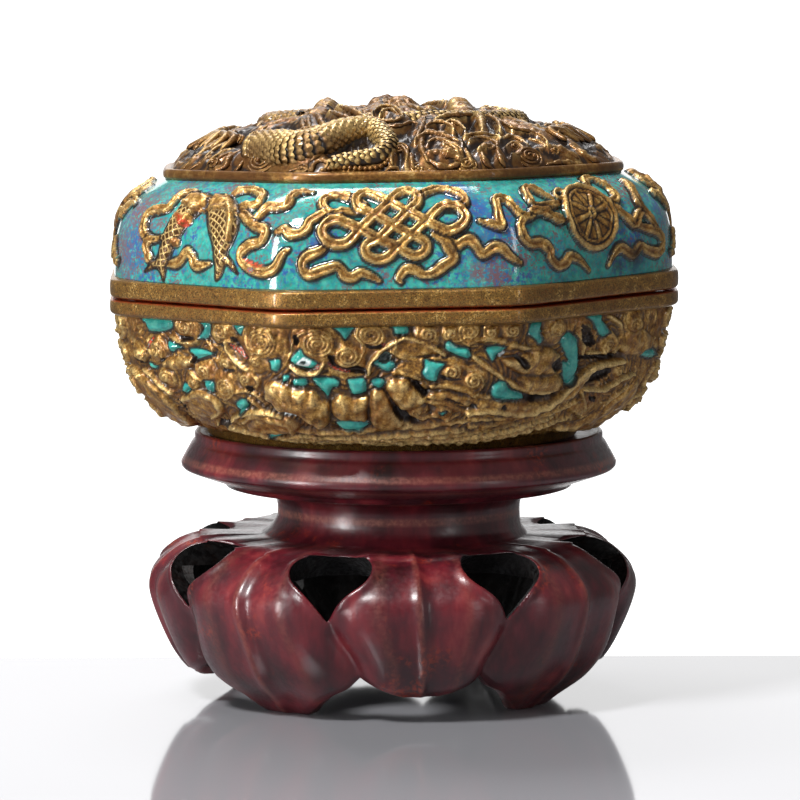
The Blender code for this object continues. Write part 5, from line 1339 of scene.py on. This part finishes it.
# The front dragon's body (across, along, height over the dome, radius), the clouds that curl
# outward beside it (radius last), and its beaded ridge
BODY = [
    (-26, -26, 2.2, 2.6), (-23.8, -28, 2.4, 3.2), (-21, -31.4, 2.6, 3.6), (-18, -34.2, 2.6, 3.5),
    (-14.8, -34.8, 2.6, 3.2), (-12.4, -33, 2.6, 2.8), (-9.4, -30.2, 2.6, 2.4), (-6.6, -28.4, 2.4, 2.2),
    (-4.2, -28, 2.2, 2), (-2.2, -31.6, 2, 1.9), (-1.6, -35.4, 2, 1.8), (-3, -37.8, 1.8, 1.7),
    (-5.4, -38.2, 1.6, 1.6), (-8, -38.4, 1.5, 1.5), (-10.4, -38.6, 1.3, 1.4), (-11.8, -38.8, 1.1, 1.1),
]
SCROLLS = [
    (-23.4, -31.6, 1.2, 2.5), (23.4, -31.6, 1.2, 2.3), (12.2, -38.8, 0.7, 1.6), (3.6, -39.2, -0.3, 1.6),
    (0.4, -35.6, 1.2, 1.6), (-16.4, -37.6, 0.7, 1.2), (-31.6, -23.4, 1.2, 1.1), (27.8, -25.2, 1.2, 0.9),
    (20.6, -29.8, 1.2, 0.9), (15.6, -29.4, 1.2, 0.9), (-27.6, -16.4, 1.2, 1.1),
]
BEADED = [
    (-12.4, -38.8, 0.4), (-11.2, -39, 1.4), (-9, -39, 0.9), (-6.4, -39.2, 0.9), (-3.8, -39.2, 0.9),
    (-2, -38.8, 1.4), (-1, -37, 1.4), (-1.2, -34.4, 1.4),
]
# Folds of the dragons on the crown and the shoulders: path, half widths, rises
FOLDS = [
    ([(-13.5, -9), (-11.8, 2), (-12.6, 9)], [2.4, 2.9, 2.6], [2.4, 4.1, 2.4]),
    ([(-3.4, -10), (-1.5, 2), (-1.9, 9)], [2.8, 3.5, 3], [1.8, 3.6, 2]),
    ([(-6.5, 1), (-5, 5), (-1, 6)], [2.4, 2.6, 2.4], [1.6, 1.9, 2]),
    ([(1.5, -2), (4.5, 2), (8.5, 4)], [2.6, 2.8, 2.2], [1.6, 1.7, 0.9]),
    ([(9.5, 4.5), (14, 4), (18, 2.5), (21.5, 0.5), (25, -3)], [2.6, 3.4, 3.6, 3.4, 2.4],
     [0.9, 1.7, 2.5, 2.7, 1.2]),
    ([(25.5, 3.5), (29, 3), (31.5, 1)], [2.2, 2.6, 1.8], [1.4, 1.8, 0.8]),
    ([(-27.5, 1), (-24, 3), (-20, 4), (-16, 3.5)], [2.6, 3.2, 3.4, 3], [1.3, 1.5, 1.8, 1.7]),
    ([(-23.5, -12), (-18.5, -11), (-15, -15), (-14, -22)], [2.6, 3.2, 3, 2.6], [1.8, 2.3, 2.6, 2.6]),
    ([(15, -12), (20, -13), (25, -17), (28, -21)], [2.6, 3, 3, 2.2], [2, 2.4, 2.2, 1.2]),
    ([(7.5, -16), (6, -22), (4.5, -28)], [2.8, 3.2, 2.8], [2.2, 2.8, 2.8]),
    ([(-4, -12), (-1, -17), (0.8, -22), (-1, -26.5)], [2.8, 3, 2.8, 2.4], [2.4, 3, 3.2, 2.8]),
    ([(7.6, -32), (8.4, -35), (8.2, -37.6)], [2.8, 3.2, 2.9], [3, 2.9, 2.4]),
]


def dome_at(x, y, lift=0.0):
    """A point over the dome, this far above its smooth form."""
    share = np.minimum(1, np.hypot(x, y) / (DOME_APOTHEM * octagon(np.arctan2(y, x), GLAZE_SHARPNESS)))
    return np.stack([x, y, DOME_FOOT + DOME_RISE * (1 - share ** 2) ** 0.7 + lift * (1 - 0.35 * share)], -1)


def about(points, angle):
    """Points turned round the box's axis, in the plan or in space."""
    c, s = math.cos(math.radians(angle)), math.sin(math.radians(angle))
    points = np.array(points, float)
    x, y = points[..., 0].copy(), points[..., 1].copy()
    points[..., 0], points[..., 1] = x * c - y * s, x * s + y * c
    return points


class Pile:
    """Closed shapes gathered into one mesh, each of rings of points with a tip at both ends."""

    def __init__(self):
        self.points, self.quads, self.triangles, self.crest, self.cavity = [], [], [], [], []
        self.count = 0

    def add(self, rings, first_tip, last_tip, crest=None, cavity=None):
        """One closed shape, with its painted highlights and painted shade."""
        many, sides = rings.shape[:2]
        blank = np.zeros((many, sides))
        self.points += [rings.reshape(-1, 3), np.array([first_tip, last_tip])]
        self.crest += [np.ravel(blank if crest is None else crest), np.zeros(2)]
        self.cavity += [np.ravel(blank if cavity is None else cavity), np.zeros(2)]
        self.quads.append(net(many, sides, self.count))
        tip = self.count + many * sides
        self.triangles += [fan(self.count, sides, tip, False), fan(tip - sides, sides, tip + 1, True)]
        self.count = tip + 2

    def bar(self, path, radius, sides=8, least=0.0):
        """A round bar on a path, rounded off at its ends, with a painted highlight on top and painted shade
        under.
        """
        way = np.gradient(path, axis=0)
        way /= np.linalg.norm(way, axis=1, keepdims=True)
        side = np.cross((0.0, 0.0, 1.0), way)
        side /= np.linalg.norm(side, axis=1, keepdims=True) + 1e-9
        up = np.cross(way, side)
        far = run(path)
        end = np.minimum(far, far[-1] - far)
        r = radius * np.sqrt(np.clip(end / (1.3 * radius), 0.04, 1))
        a = 2 * np.pi * np.arange(sides) / sides
        rings = path[:, None] + r[:, None, None] * (np.cos(a)[None, :, None] * side[:, None]
                                                    + np.sin(a)[None, :, None] * up[:, None])
        # Painted highlight along the top of the bar, and painted shade beneath, never lighter than least.
        bright = np.broadcast_to(np.clip(np.sin(a) * 1.6 - 0.7, 0, 1) * 0.45, (len(path), sides))
        dark = np.broadcast_to(np.clip(-np.sin(a) * 1.4 - 0.1, least, 1), (len(path), sides))
        self.add(rings, path[0], path[-1], bright, dark)

    def ball(self, middle, across, up, out, rings=9, sides=20):
        """An egg shape on three half axes."""
        polar = np.linspace(0, np.pi, rings + 2)[1:-1]
        a = 2 * np.pi * np.arange(sides) / sides
        flat = np.cos(a)[:, None] * across + np.sin(a)[:, None] * up
        egg = middle - np.cos(polar)[:, None, None] * out + np.sin(polar)[:, None, None] * flat[None]
        self.add(egg, middle - out, middle + out)

    def piece(self, name, material):
        """All the shapes as one mesh object."""
        layers = {"crest": np.concatenate(self.crest), "cavity": np.concatenate(self.cavity)}
        layers["red"] = layers["line"] = np.zeros(self.count)
        return make(name, lean(np.vstack(self.points)), np.vstack(self.quads), np.vstack(self.triangles),
                    layers, [material])


def along(points, lift, radius, step=0.32):
    """A bar's path and radii over the dome, from its plan points."""
    path, spot = curve(points, step=step)
    at = np.arange(len(points))
    lift = np.interp(spot, at, np.broadcast_to(lift, len(points)))
    return dome_at(path[:, 0], path[:, 1], lift), np.interp(spot, at, np.broadcast_to(radius, len(points)))


dome_s = dense_front(46.0, 0.27, 0.62)
dome_angle = panel_angle(dome_s)
DOME_COLUMNS = len(dome_s)
border = DOME_APOTHEM * octagon(dome_angle, GLAZE_SHARPNESS)
share = 1 - np.linspace(0, 1, DOME_ROWS) ** 1.2 * 0.985
X = share[:, None] * border[None, :] * np.cos(dome_angle)
Y = share[:, None] * border[None, :] * np.sin(dome_angle)
dome = Relief(X, Y, 0.0, ("line", "red", "gold"))
rng = np.random.default_rng(11)
cloud_curls = []
CURL_RINGS = ((37.0, 34, 1.5), (33.2, 26, 2.2), (28.0, 20, 2.4), (22.0, 15, 2.6), (15.5, 10, 2.6))
for ring_radius, many, size in CURL_RINGS:
    for n in range(many):
        a = math.radians(360 * (n + rng.uniform(-0.3, 0.3)) / many)
        r = ring_radius + rng.uniform(-0.9, 0.9)
        cloud_curls.append((r * math.cos(a), r * math.sin(a), size * rng.uniform(0.8, 1.15)))
swirl = np.full(dome.x.size, 1e9)
for x, y, size in cloud_curls:
    swirl = np.minimum(swirl, np.hypot(dome.x - x, dome.y - y) - size)
dome.lift += 0.26 * np.cos(2 * np.pi * swirl / 1.3)
for i, (x, y, size) in enumerate(cloud_curls):
    dome.stroke([(x - 0.2, y), (x + 0.2, y)], size, 0.9, swell, ring=0.3)
    dome.stroke(spiral(x, y, size * 0.9, 50 * i, (1 if i % 2 else -1) * size / 0.85), [0.3, 0.25], 0.4, cord,
                ring=0.15, over=True)
body_plan = [spot[:2] for spot in BODY]
body_lift, body_thick = ([spot[i] for spot in BODY] for i in (2, 3))
for angle in HALVES:
    for points, half, rise in FOLDS:
        dome.stroke(about(points, angle), half, rise, cord, ring=0.4)
    for points, lift, radius in CORDS:
        rise = np.maximum(0.1, np.array(lift) + 0.1)
        dome.stroke(about(points, angle), 1.4 * radius + 0.5, rise, blade, ring=0.45)
    dome.stroke(about(body_plan, angle), [0.8 * radius for radius in body_thick], body_lift, cord, ring=0.3)
dome.lift += worked(dome.x, dome.y, 0.13, 80.0, 23)
near_border = smooth_step((1 - share) * 34)[:, None]
lift = dome.lift.reshape(X.shape) * near_border
dome_points = dome_at(X, Y, lift)
lip_line = rounded([(39.9, 92.9), (40.4, 93.4), (40.7, 93.7), (40.75, 94.4), (40.5, 94.95), (40.1, 95.15),
                    (39.6, 95.1), (39.3, 94.9)], 1)
lip_r = lip_line[:, :1] * octagon(dome_angle, GLAZE_SHARPNESS)[None, :]
lip = np.stack([lip_r * np.cos(dome_angle), lip_r * np.sin(dome_angle),
                np.broadcast_to(lip_line[:, 1:], lip_r.shape)], -1)
under = np.stack([0.4 * lip[0, :, 0], 0.4 * lip[0, :, 1], np.full(DOME_COLUMNS, 97.0)], -1)[None]
rows = lean(np.concatenate([under, lip[:-1], dome_points]))
layers = hollows(dome.lift, X.shape, 3, 0.8)
# Painted shade, near black, wherever the dome lies low between its relief, with less of it along the border.
bare = 1.7 - 1.5 * smooth_step((share - 0.9) / 0.06)[:, None]
layers["cavity"] = np.maximum(layers["cavity"], 0.95 * smooth_step((bare - dome.lift.reshape(X.shape)) / 0.7))
layers["line"] = dome.layers["line"].reshape(X.shape)
layers["red"] = dome.layers["red"].reshape(X.shape)
lead = len(lip_line)
layers = {key: np.concatenate([np.zeros((lead, DOME_COLUMNS)), value]) for key, value in layers.items()}

# Gold tarnished to brown in broad clouds, with almost black painted shade between the cords.
dome_look = gilded("gilt_dragon_relief", gilt_all=True, brown=0.4)
dome_top = capped("dragon_dome", rows, (0, 0, 98.0), dome_points[-1].mean(0), layers, [dome_look.material])
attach(dome_top, "root")
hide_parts("lid")

# Dragon bodies and cloud cords
# The parts of the same relief that stand free of the dome: the dragons' round bodies, manes,
# limbs and claws, and the clouds that curl outward at the border, all gilt.

body_path, body_radius = along(body_plan, body_lift, body_thick, 0.4)
inward = -body_path[:, :2] / np.linalg.norm(body_path[:, :2], axis=1, keepdims=True)
body_path[:, :2] += inward * 0.45 * body_radius[:, None]
crown = [(-16.0, -5.0), (-21.5, 0.0), (-20.0, 9.0), (-12.0, 16.0), (-2.0, 18.0), (6.0, 15.0)]
crown_path, crown_radius = along(crown, [0.3, 0.2, 0.0, 0.0, 0.0, 0.0], [2.0, 2.2, 2.4, 2.4, 2.2, 1.6], 0.6)
cords = Pile()
for angle in HALVES:
    # The bodies are painted at least 0.8 dark all round, as shade under their scales.
    cords.bar(about(body_path, angle), body_radius, 16, 0.8)
    cords.bar(about(crown_path, angle), crown_radius, 14, 0.8)
    for points, lift, radius in CORDS:
        path, thick = along(points, lift, radius)
        path[:, 2] -= 0.55 * radius
        swelling = np.sin(np.pi * run(path) / run(path)[-1])
        worn = 1 + 0.2 * np.sin(2.3 * run(path) + 9 * radius) + 0.12 * np.sin(5.9 * run(path))
        cords.bar(about(path, angle), thick * (0.25 + 0.5 * swelling) * worn)
    for x, y, lift, size in SCROLLS:
        middle = dome_at(x, y, lift)
        radial = np.array((x, y, 0.0)) / math.hypot(x, y)
        side = np.array((-radial[1], radial[0], 0.0))
        out = radial * math.sin(SCROLL_TILT) + np.array((0, 0, math.cos(SCROLL_TILT)))
        up = np.cross(out, side)
        middle = middle + up * 0.35 * size - out * 0.5
        cords.ball(*about([middle, side * size * 1.25, up * size, out * 0.75], angle))
        coil = np.array(spiral(0, 0, 0.97, 200, size / 0.78))
        path = curve(coil * size, step=0.25)[0]
        spiral_path = (middle + path[:, :1] * 1.25 * side + path[:, 1:] * up
                       + (0.78 * np.sqrt(np.clip(1 - (path ** 2).sum(1) / size ** 2, 0, 1)))[:, None] * out)
        cords.bar(about(spiral_path, angle), np.full(len(path), 0.2 + 0.03 * size), 6)

# Short crossing cords of cloud round the border, at the left and the right
CROSSING = 64
for n in range(CROSSING):
    a = 360 * (n + rng.uniform(-0.3, 0.3)) / CROSSING
    away = (a - 90) % 180
    if min(away, 180 - away) < 62:
        continue
    bend = rng.uniform(-1, 1)
    base = np.array([(33.5 + 3 * math.sin(n), -2.6), (31.5, -0.9 + bend), (32.5, 0.9 - bend), (35.5, 2.4)])
    path, thick = along(about(base, a), [1.6, 2.0, 1.8, 0.6], [0.5, 0.8, 0.8, 0.4])
    cords.bar(path, thick)
dragons = cords.piece("dragons_and_clouds", dome_look.material)
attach(dragons, "root")
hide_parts("lid")

# Dragon scales
# Overlapping scales on the dragons' bodies, each a small raised shield of the same gilt clay,
# pressed on in rows, with painted shade under its root and a painted highlight on its free edge.


def repeater():
    """The node group that sets a shape down at every point, turned and sized by its layers."""
    group = bpy.data.node_groups.new("set_down", "GeometryNodeTree")
    face = group.interface
    for label, kind in (("Geometry", "Geometry"), ("Shape", "Object"), ("Material", "Material"),
                        ("Size jitter", "Float"), ("Seed", "Int")):
        face.new_socket(label, in_out="INPUT", socket_type="NodeSocket" + kind)
    face.new_socket("Geometry", in_out="OUTPUT", socket_type="NodeSocketGeometry")
    node = group.nodes.new
    given, result = node("NodeGroupInput"), node("NodeGroupOutput")
    points, shape = node("GeometryNodeMeshToPoints"), node("GeometryNodeObjectInfo")
    turn, size = node("GeometryNodeInputNamedAttribute"), node("GeometryNodeInputNamedAttribute")
    turn.data_type, size.data_type = "FLOAT_VECTOR", "FLOAT"
    turn.inputs["Name"].default_value, size.inputs["Name"].default_value = "turn", "size"
    spin, chance = node("FunctionNodeEulerToRotation"), node("FunctionNodeRandomValue")
    low, high, scale = node("ShaderNodeMath"), node("ShaderNodeMath"), node("ShaderNodeMath")
    low.operation, high.operation, scale.operation = "SUBTRACT", "ADD", "MULTIPLY"
    low.inputs[0].default_value = high.inputs[0].default_value = 1.0
    place, real, paint = (
        node("GeometryNode" + kind) for kind in ("InstanceOnPoints", "RealizeInstances", "SetMaterial"))
    for start, out, end, into in (
        (given, "Geometry", points, "Mesh"), (given, "Shape", shape, "Object"),
        (given, "Size jitter", low, 1), (given, "Size jitter", high, 1), (low, 0, chance, 2),
        (high, 0, chance, 3), (given, "Seed", chance, "Seed"), (size, "Attribute", scale, 0),
        (chance, 1, scale, 1), (turn, "Attribute", spin, "Euler"), (points, "Points", place, "Points"),
        (shape, "Geometry", place, "Instance"), (spin, "Rotation", place, "Rotation"),
        (scale, 0, place, "Scale"), (place, "Instances", real, "Geometry"),
        (real, "Geometry", paint, "Geometry"), (given, "Material", paint, "Material"),
        (paint, "Geometry", result, "Geometry"),
    ):
        group.links.new(start.outputs[out], end.inputs[into])
    return group


def repeat(name, group, spots, turns, sizes, shape, material, jitter, seed):
    """One plain mesh of many copies of a shape, set down by the node group."""
    mesh = bpy.data.meshes.new(name + "_spots")
    mesh.from_pydata((np.array(spots) / 1000).tolist(), [], [])
    for key, kind, field, values in (("turn", "FLOAT_VECTOR", "vector", turns),
                                     ("size", "FLOAT", "value", sizes)):
        layer = mesh.attributes.new(key, kind, "POINT")
        layer.data.foreach_set(field, np.ravel(values).astype(np.float32))
    holder = placed(name + "_spots", mesh)
    modifier = holder.modifiers.new("repeat", "NODES")
    modifier.node_group = group
    values = {"Shape": shape, "Material": material, "Size jitter": jitter, "Seed": seed}
    for item in group.interface.items_tree:
        if item.in_out == "INPUT" and item.name in values:
            modifier[item.identifier] = values[item.name]
    bpy.context.view_layer.update()
    real = bpy.data.meshes.new_from_object(holder.evaluated_get(bpy.context.evaluated_depsgraph_get()))
    real.name = name
    for key in ("turn", "size"):
        if key in real.attributes:
            real.attributes.remove(real.attributes[key])
    made = placed(name, real)
    bpy.data.objects.remove(holder)
    bpy.data.objects.remove(shape)
    return made


def frame_turn(across, up_along, normal):
    """The turn that carries a shape's X, Y and Z onto three directions."""
    return tuple(Matrix((across, up_along, normal)).transposed().to_euler())


def scale_spots(path, radius, wide, pitch):
    """Places and turns for rows of scales that overlap along a body."""
    spots, turns, sizes = [], [], []
    way = np.gradient(path, axis=0)
    way /= np.linalg.norm(way, axis=1, keepdims=True)
    far = run(path)
    for row in range(int(far[-1] / pitch)):
        at = pitch * (row + 0.5)
        middle, r = sampled(path, [at])[0], np.interp(at, far, radius)
        ahead = np.array([np.interp(at, far, way[:, i]) for i in range(3)])
        ahead /= np.linalg.norm(ahead)
        side = np.cross((0, 0, 1), ahead)
        side /= np.linalg.norm(side)
        up = np.cross(ahead, side)
        step = wide / r
        for n in range(-int(2.1 / step), int(2.1 / step) + 1):
            a = math.pi / 2 + (n + 0.5 * (row % 2)) * step
            out = side * math.cos(a) + up * math.sin(a)
            spots.append(middle + out * (r - 0.02))
            turns.append((np.cross(ahead, out), ahead, out))
            sizes.append(min(1.25, 0.62 + 0.16 * r))
    return spots, turns, sizes


outline_scale = [(-0.62, -0.55, -0.2), (0.0, -0.75, -0.25), (0.62, -0.55, -0.2), (0.8, 0.0, -0.05),
                 (0.62, 0.55, 0.1), (0.3, 0.86, 0.2), (0.0, 0.98, 0.24), (-0.3, 0.86, 0.2),
                 (-0.62, 0.55, 0.1), (-0.8, 0.0, -0.05)]
sides = len(outline_scale)
scale_mesh = bpy.data.meshes.new("scale_shape")
scale_points = outline_scale + [(0, 0.2, 0.34), (0, 0, -0.35)]
scale_mesh.from_pydata([tuple(c / 1000 for c in p) for p in scale_points], [],
                       [(i, (i + 1) % sides, sides) for i in range(sides)]
                       + [((i + 1) % sides, i, sides + 1) for i in range(sides)])
# Painted highlight towards each scale's free edge, and painted shade at its root.
for key, values in (("crest", [0, 0, 0, 0.2, 0.7, 1, 1, 1, 0.7, 0.2, 0.6, 0]),
                    ("cavity", [1, 1, 1, 0.5, 0, 0, 0, 0, 0, 0.5, 0, 1])):
    scale_mesh.attributes.new(key, "FLOAT", "POINT").data.foreach_set("value", values)
scale_shape = placed("scale_shape", scale_mesh)
spots, turns, sizes = scale_spots(body_path, body_radius, 1.2, 0.92)
more = scale_spots(crown_path, crown_radius, 1.3, 1.0)
spots, turns, sizes = np.array(spots + more[0]), np.array(turns + more[1]), np.array(sizes + more[2])
spots = np.concatenate([lean(about(spots, angle)) for angle in HALVES])
turns = np.concatenate([about(turns, angle) for angle in HALVES])
set_down = repeater()
scales = repeat("dragon_scales", set_down, spots, [frame_turn(*turn) for turn in turns], np.tile(sizes, 2),
                scale_shape, dome_look.material, 0.12, 4)
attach(scales, "root")
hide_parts("lid")

# Beads
# The knobbed ridge along the front dragon, and small bosses in the eyes of the clouds: round
# drops of clay set on by hand before the glaze, and gilt with the rest.

bead_mesh = bpy.data.meshes.new("bead_shape")
ball = bmesh.new()
bmesh.ops.create_icosphere(ball, subdivisions=2, radius=0.0005)
ball.to_mesh(bead_mesh)
ball.free()
bead_mesh.polygons.foreach_set("use_smooth", [True] * len(bead_mesh.polygons))
bead_shape = placed("bead_shape", bead_mesh)
ridge_path, _ = along([spot[:2] for spot in BEADED], [spot[2] for spot in BEADED], 0.5)
bead_spots = [list(p) for p in spread(ridge_path, int(run(ridge_path)[-1] / 0.85))]
bead_sizes = [0.95] * len(bead_spots)
for x, y, lift, size in SCROLLS:
    radial = np.array((x, y, 0.0)) / math.hypot(x, y)
    bead_spots.append(list(dome_at(x, y, lift) + radial * 0.7 + np.array((0, 0, 0.35 * size))))
    bead_sizes.append(0.35 * size)
bead_spots = np.concatenate([lean(about(bead_spots, angle)) for angle in HALVES])
beads = repeat("relief_beads", set_down, bead_spots, np.zeros((len(bead_spots), 3)), np.tile(bead_sizes, 2),
               bead_shape, dome_look.material, 0.1, 9)
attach(beads, "root")
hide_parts("lid")

# Studio: a glossy pale table that ends behind the stand, a white backdrop, and soft lights

table_look = Look("pale_glossy_table")
table_look.finish(Base_Color="#909094", Roughness=0.07)
glow = Look("white_backdrop")
glow.finish(Base_Color="#000000", Emission_Color="#FFFFFF", Emission_Strength=1.6, Roughness=1.0)


def sheet(name, corners, look):
    """One flat face."""
    mesh = bpy.data.meshes.new(name)
    mesh.from_pydata(corners, [], [(0, 1, 2, 3)])
    mesh.materials.append(look.material)
    return placed(name, mesh)


table = sheet("table", [(-0.9, -0.9, 0), (0.9, -0.9, 0), (0.9, 0.042, 0), (-0.9, 0.042, 0)], table_look)
backdrop = sheet("backdrop", [(-0.38, 1.5, -0.95), (0.38, 1.5, -0.95), (0.38, 1.5, 1.2), (-0.38, 1.5, 1.2)],
                 glow)

world = bpy.data.worlds.new("studio")
world.use_nodes = True
sky = world.node_tree.nodes["Background"].inputs
sky["Color"].default_value = (1, 1, 1, 1)
sky["Strength"].default_value = 0.2
bpy.context.scene.world = world

# Each light's place and size in metres, and its power
LIGHTS = [
    ("key", (-0.45, -0.55, 1.0), 0.2, 0.24, 17.0),
    ("low", (-0.85, -0.6, 0.18), 0.06, 0.5, 7.5),
    ("fill", (0.8, -0.7, 0.35), 0.06, 0.6, 0.9),
    ("top", (-0.15, 0.36, 0.85), 0.5, 0.25, 5.0),
]
for name, place, wide, tall, power in LIGHTS:
    lamp = bpy.data.lights.new(name, "AREA")
    lamp.shape = "RECTANGLE"
    lamp.size, lamp.size_y, lamp.energy = wide, tall, power
    light = placed(name, lamp)
    light.location = place
    aim = np.array((0, 0, 0.07)) - np.array(place)
    flat = math.hypot(aim[0], aim[1])
    light.rotation_euler = (math.atan2(flat, -aim[2]), 0, math.atan2(-aim[0], aim[1]))

lens = bpy.data.cameras.new("camera")
lens.sensor_width = 36.0
lens.lens = 266.3
lens.clip_start, lens.clip_end = 0.05, 10.0
camera = placed("camera", lens)
camera.location = (-0.02066, -1.0498, 0.1646)
camera.rotation_euler = (math.radians(90 - 6.09), 0, math.radians(-1.2))
bpy.context.scene.camera = camera
bpy.context.scene.view_settings.view_transform = "Standard"
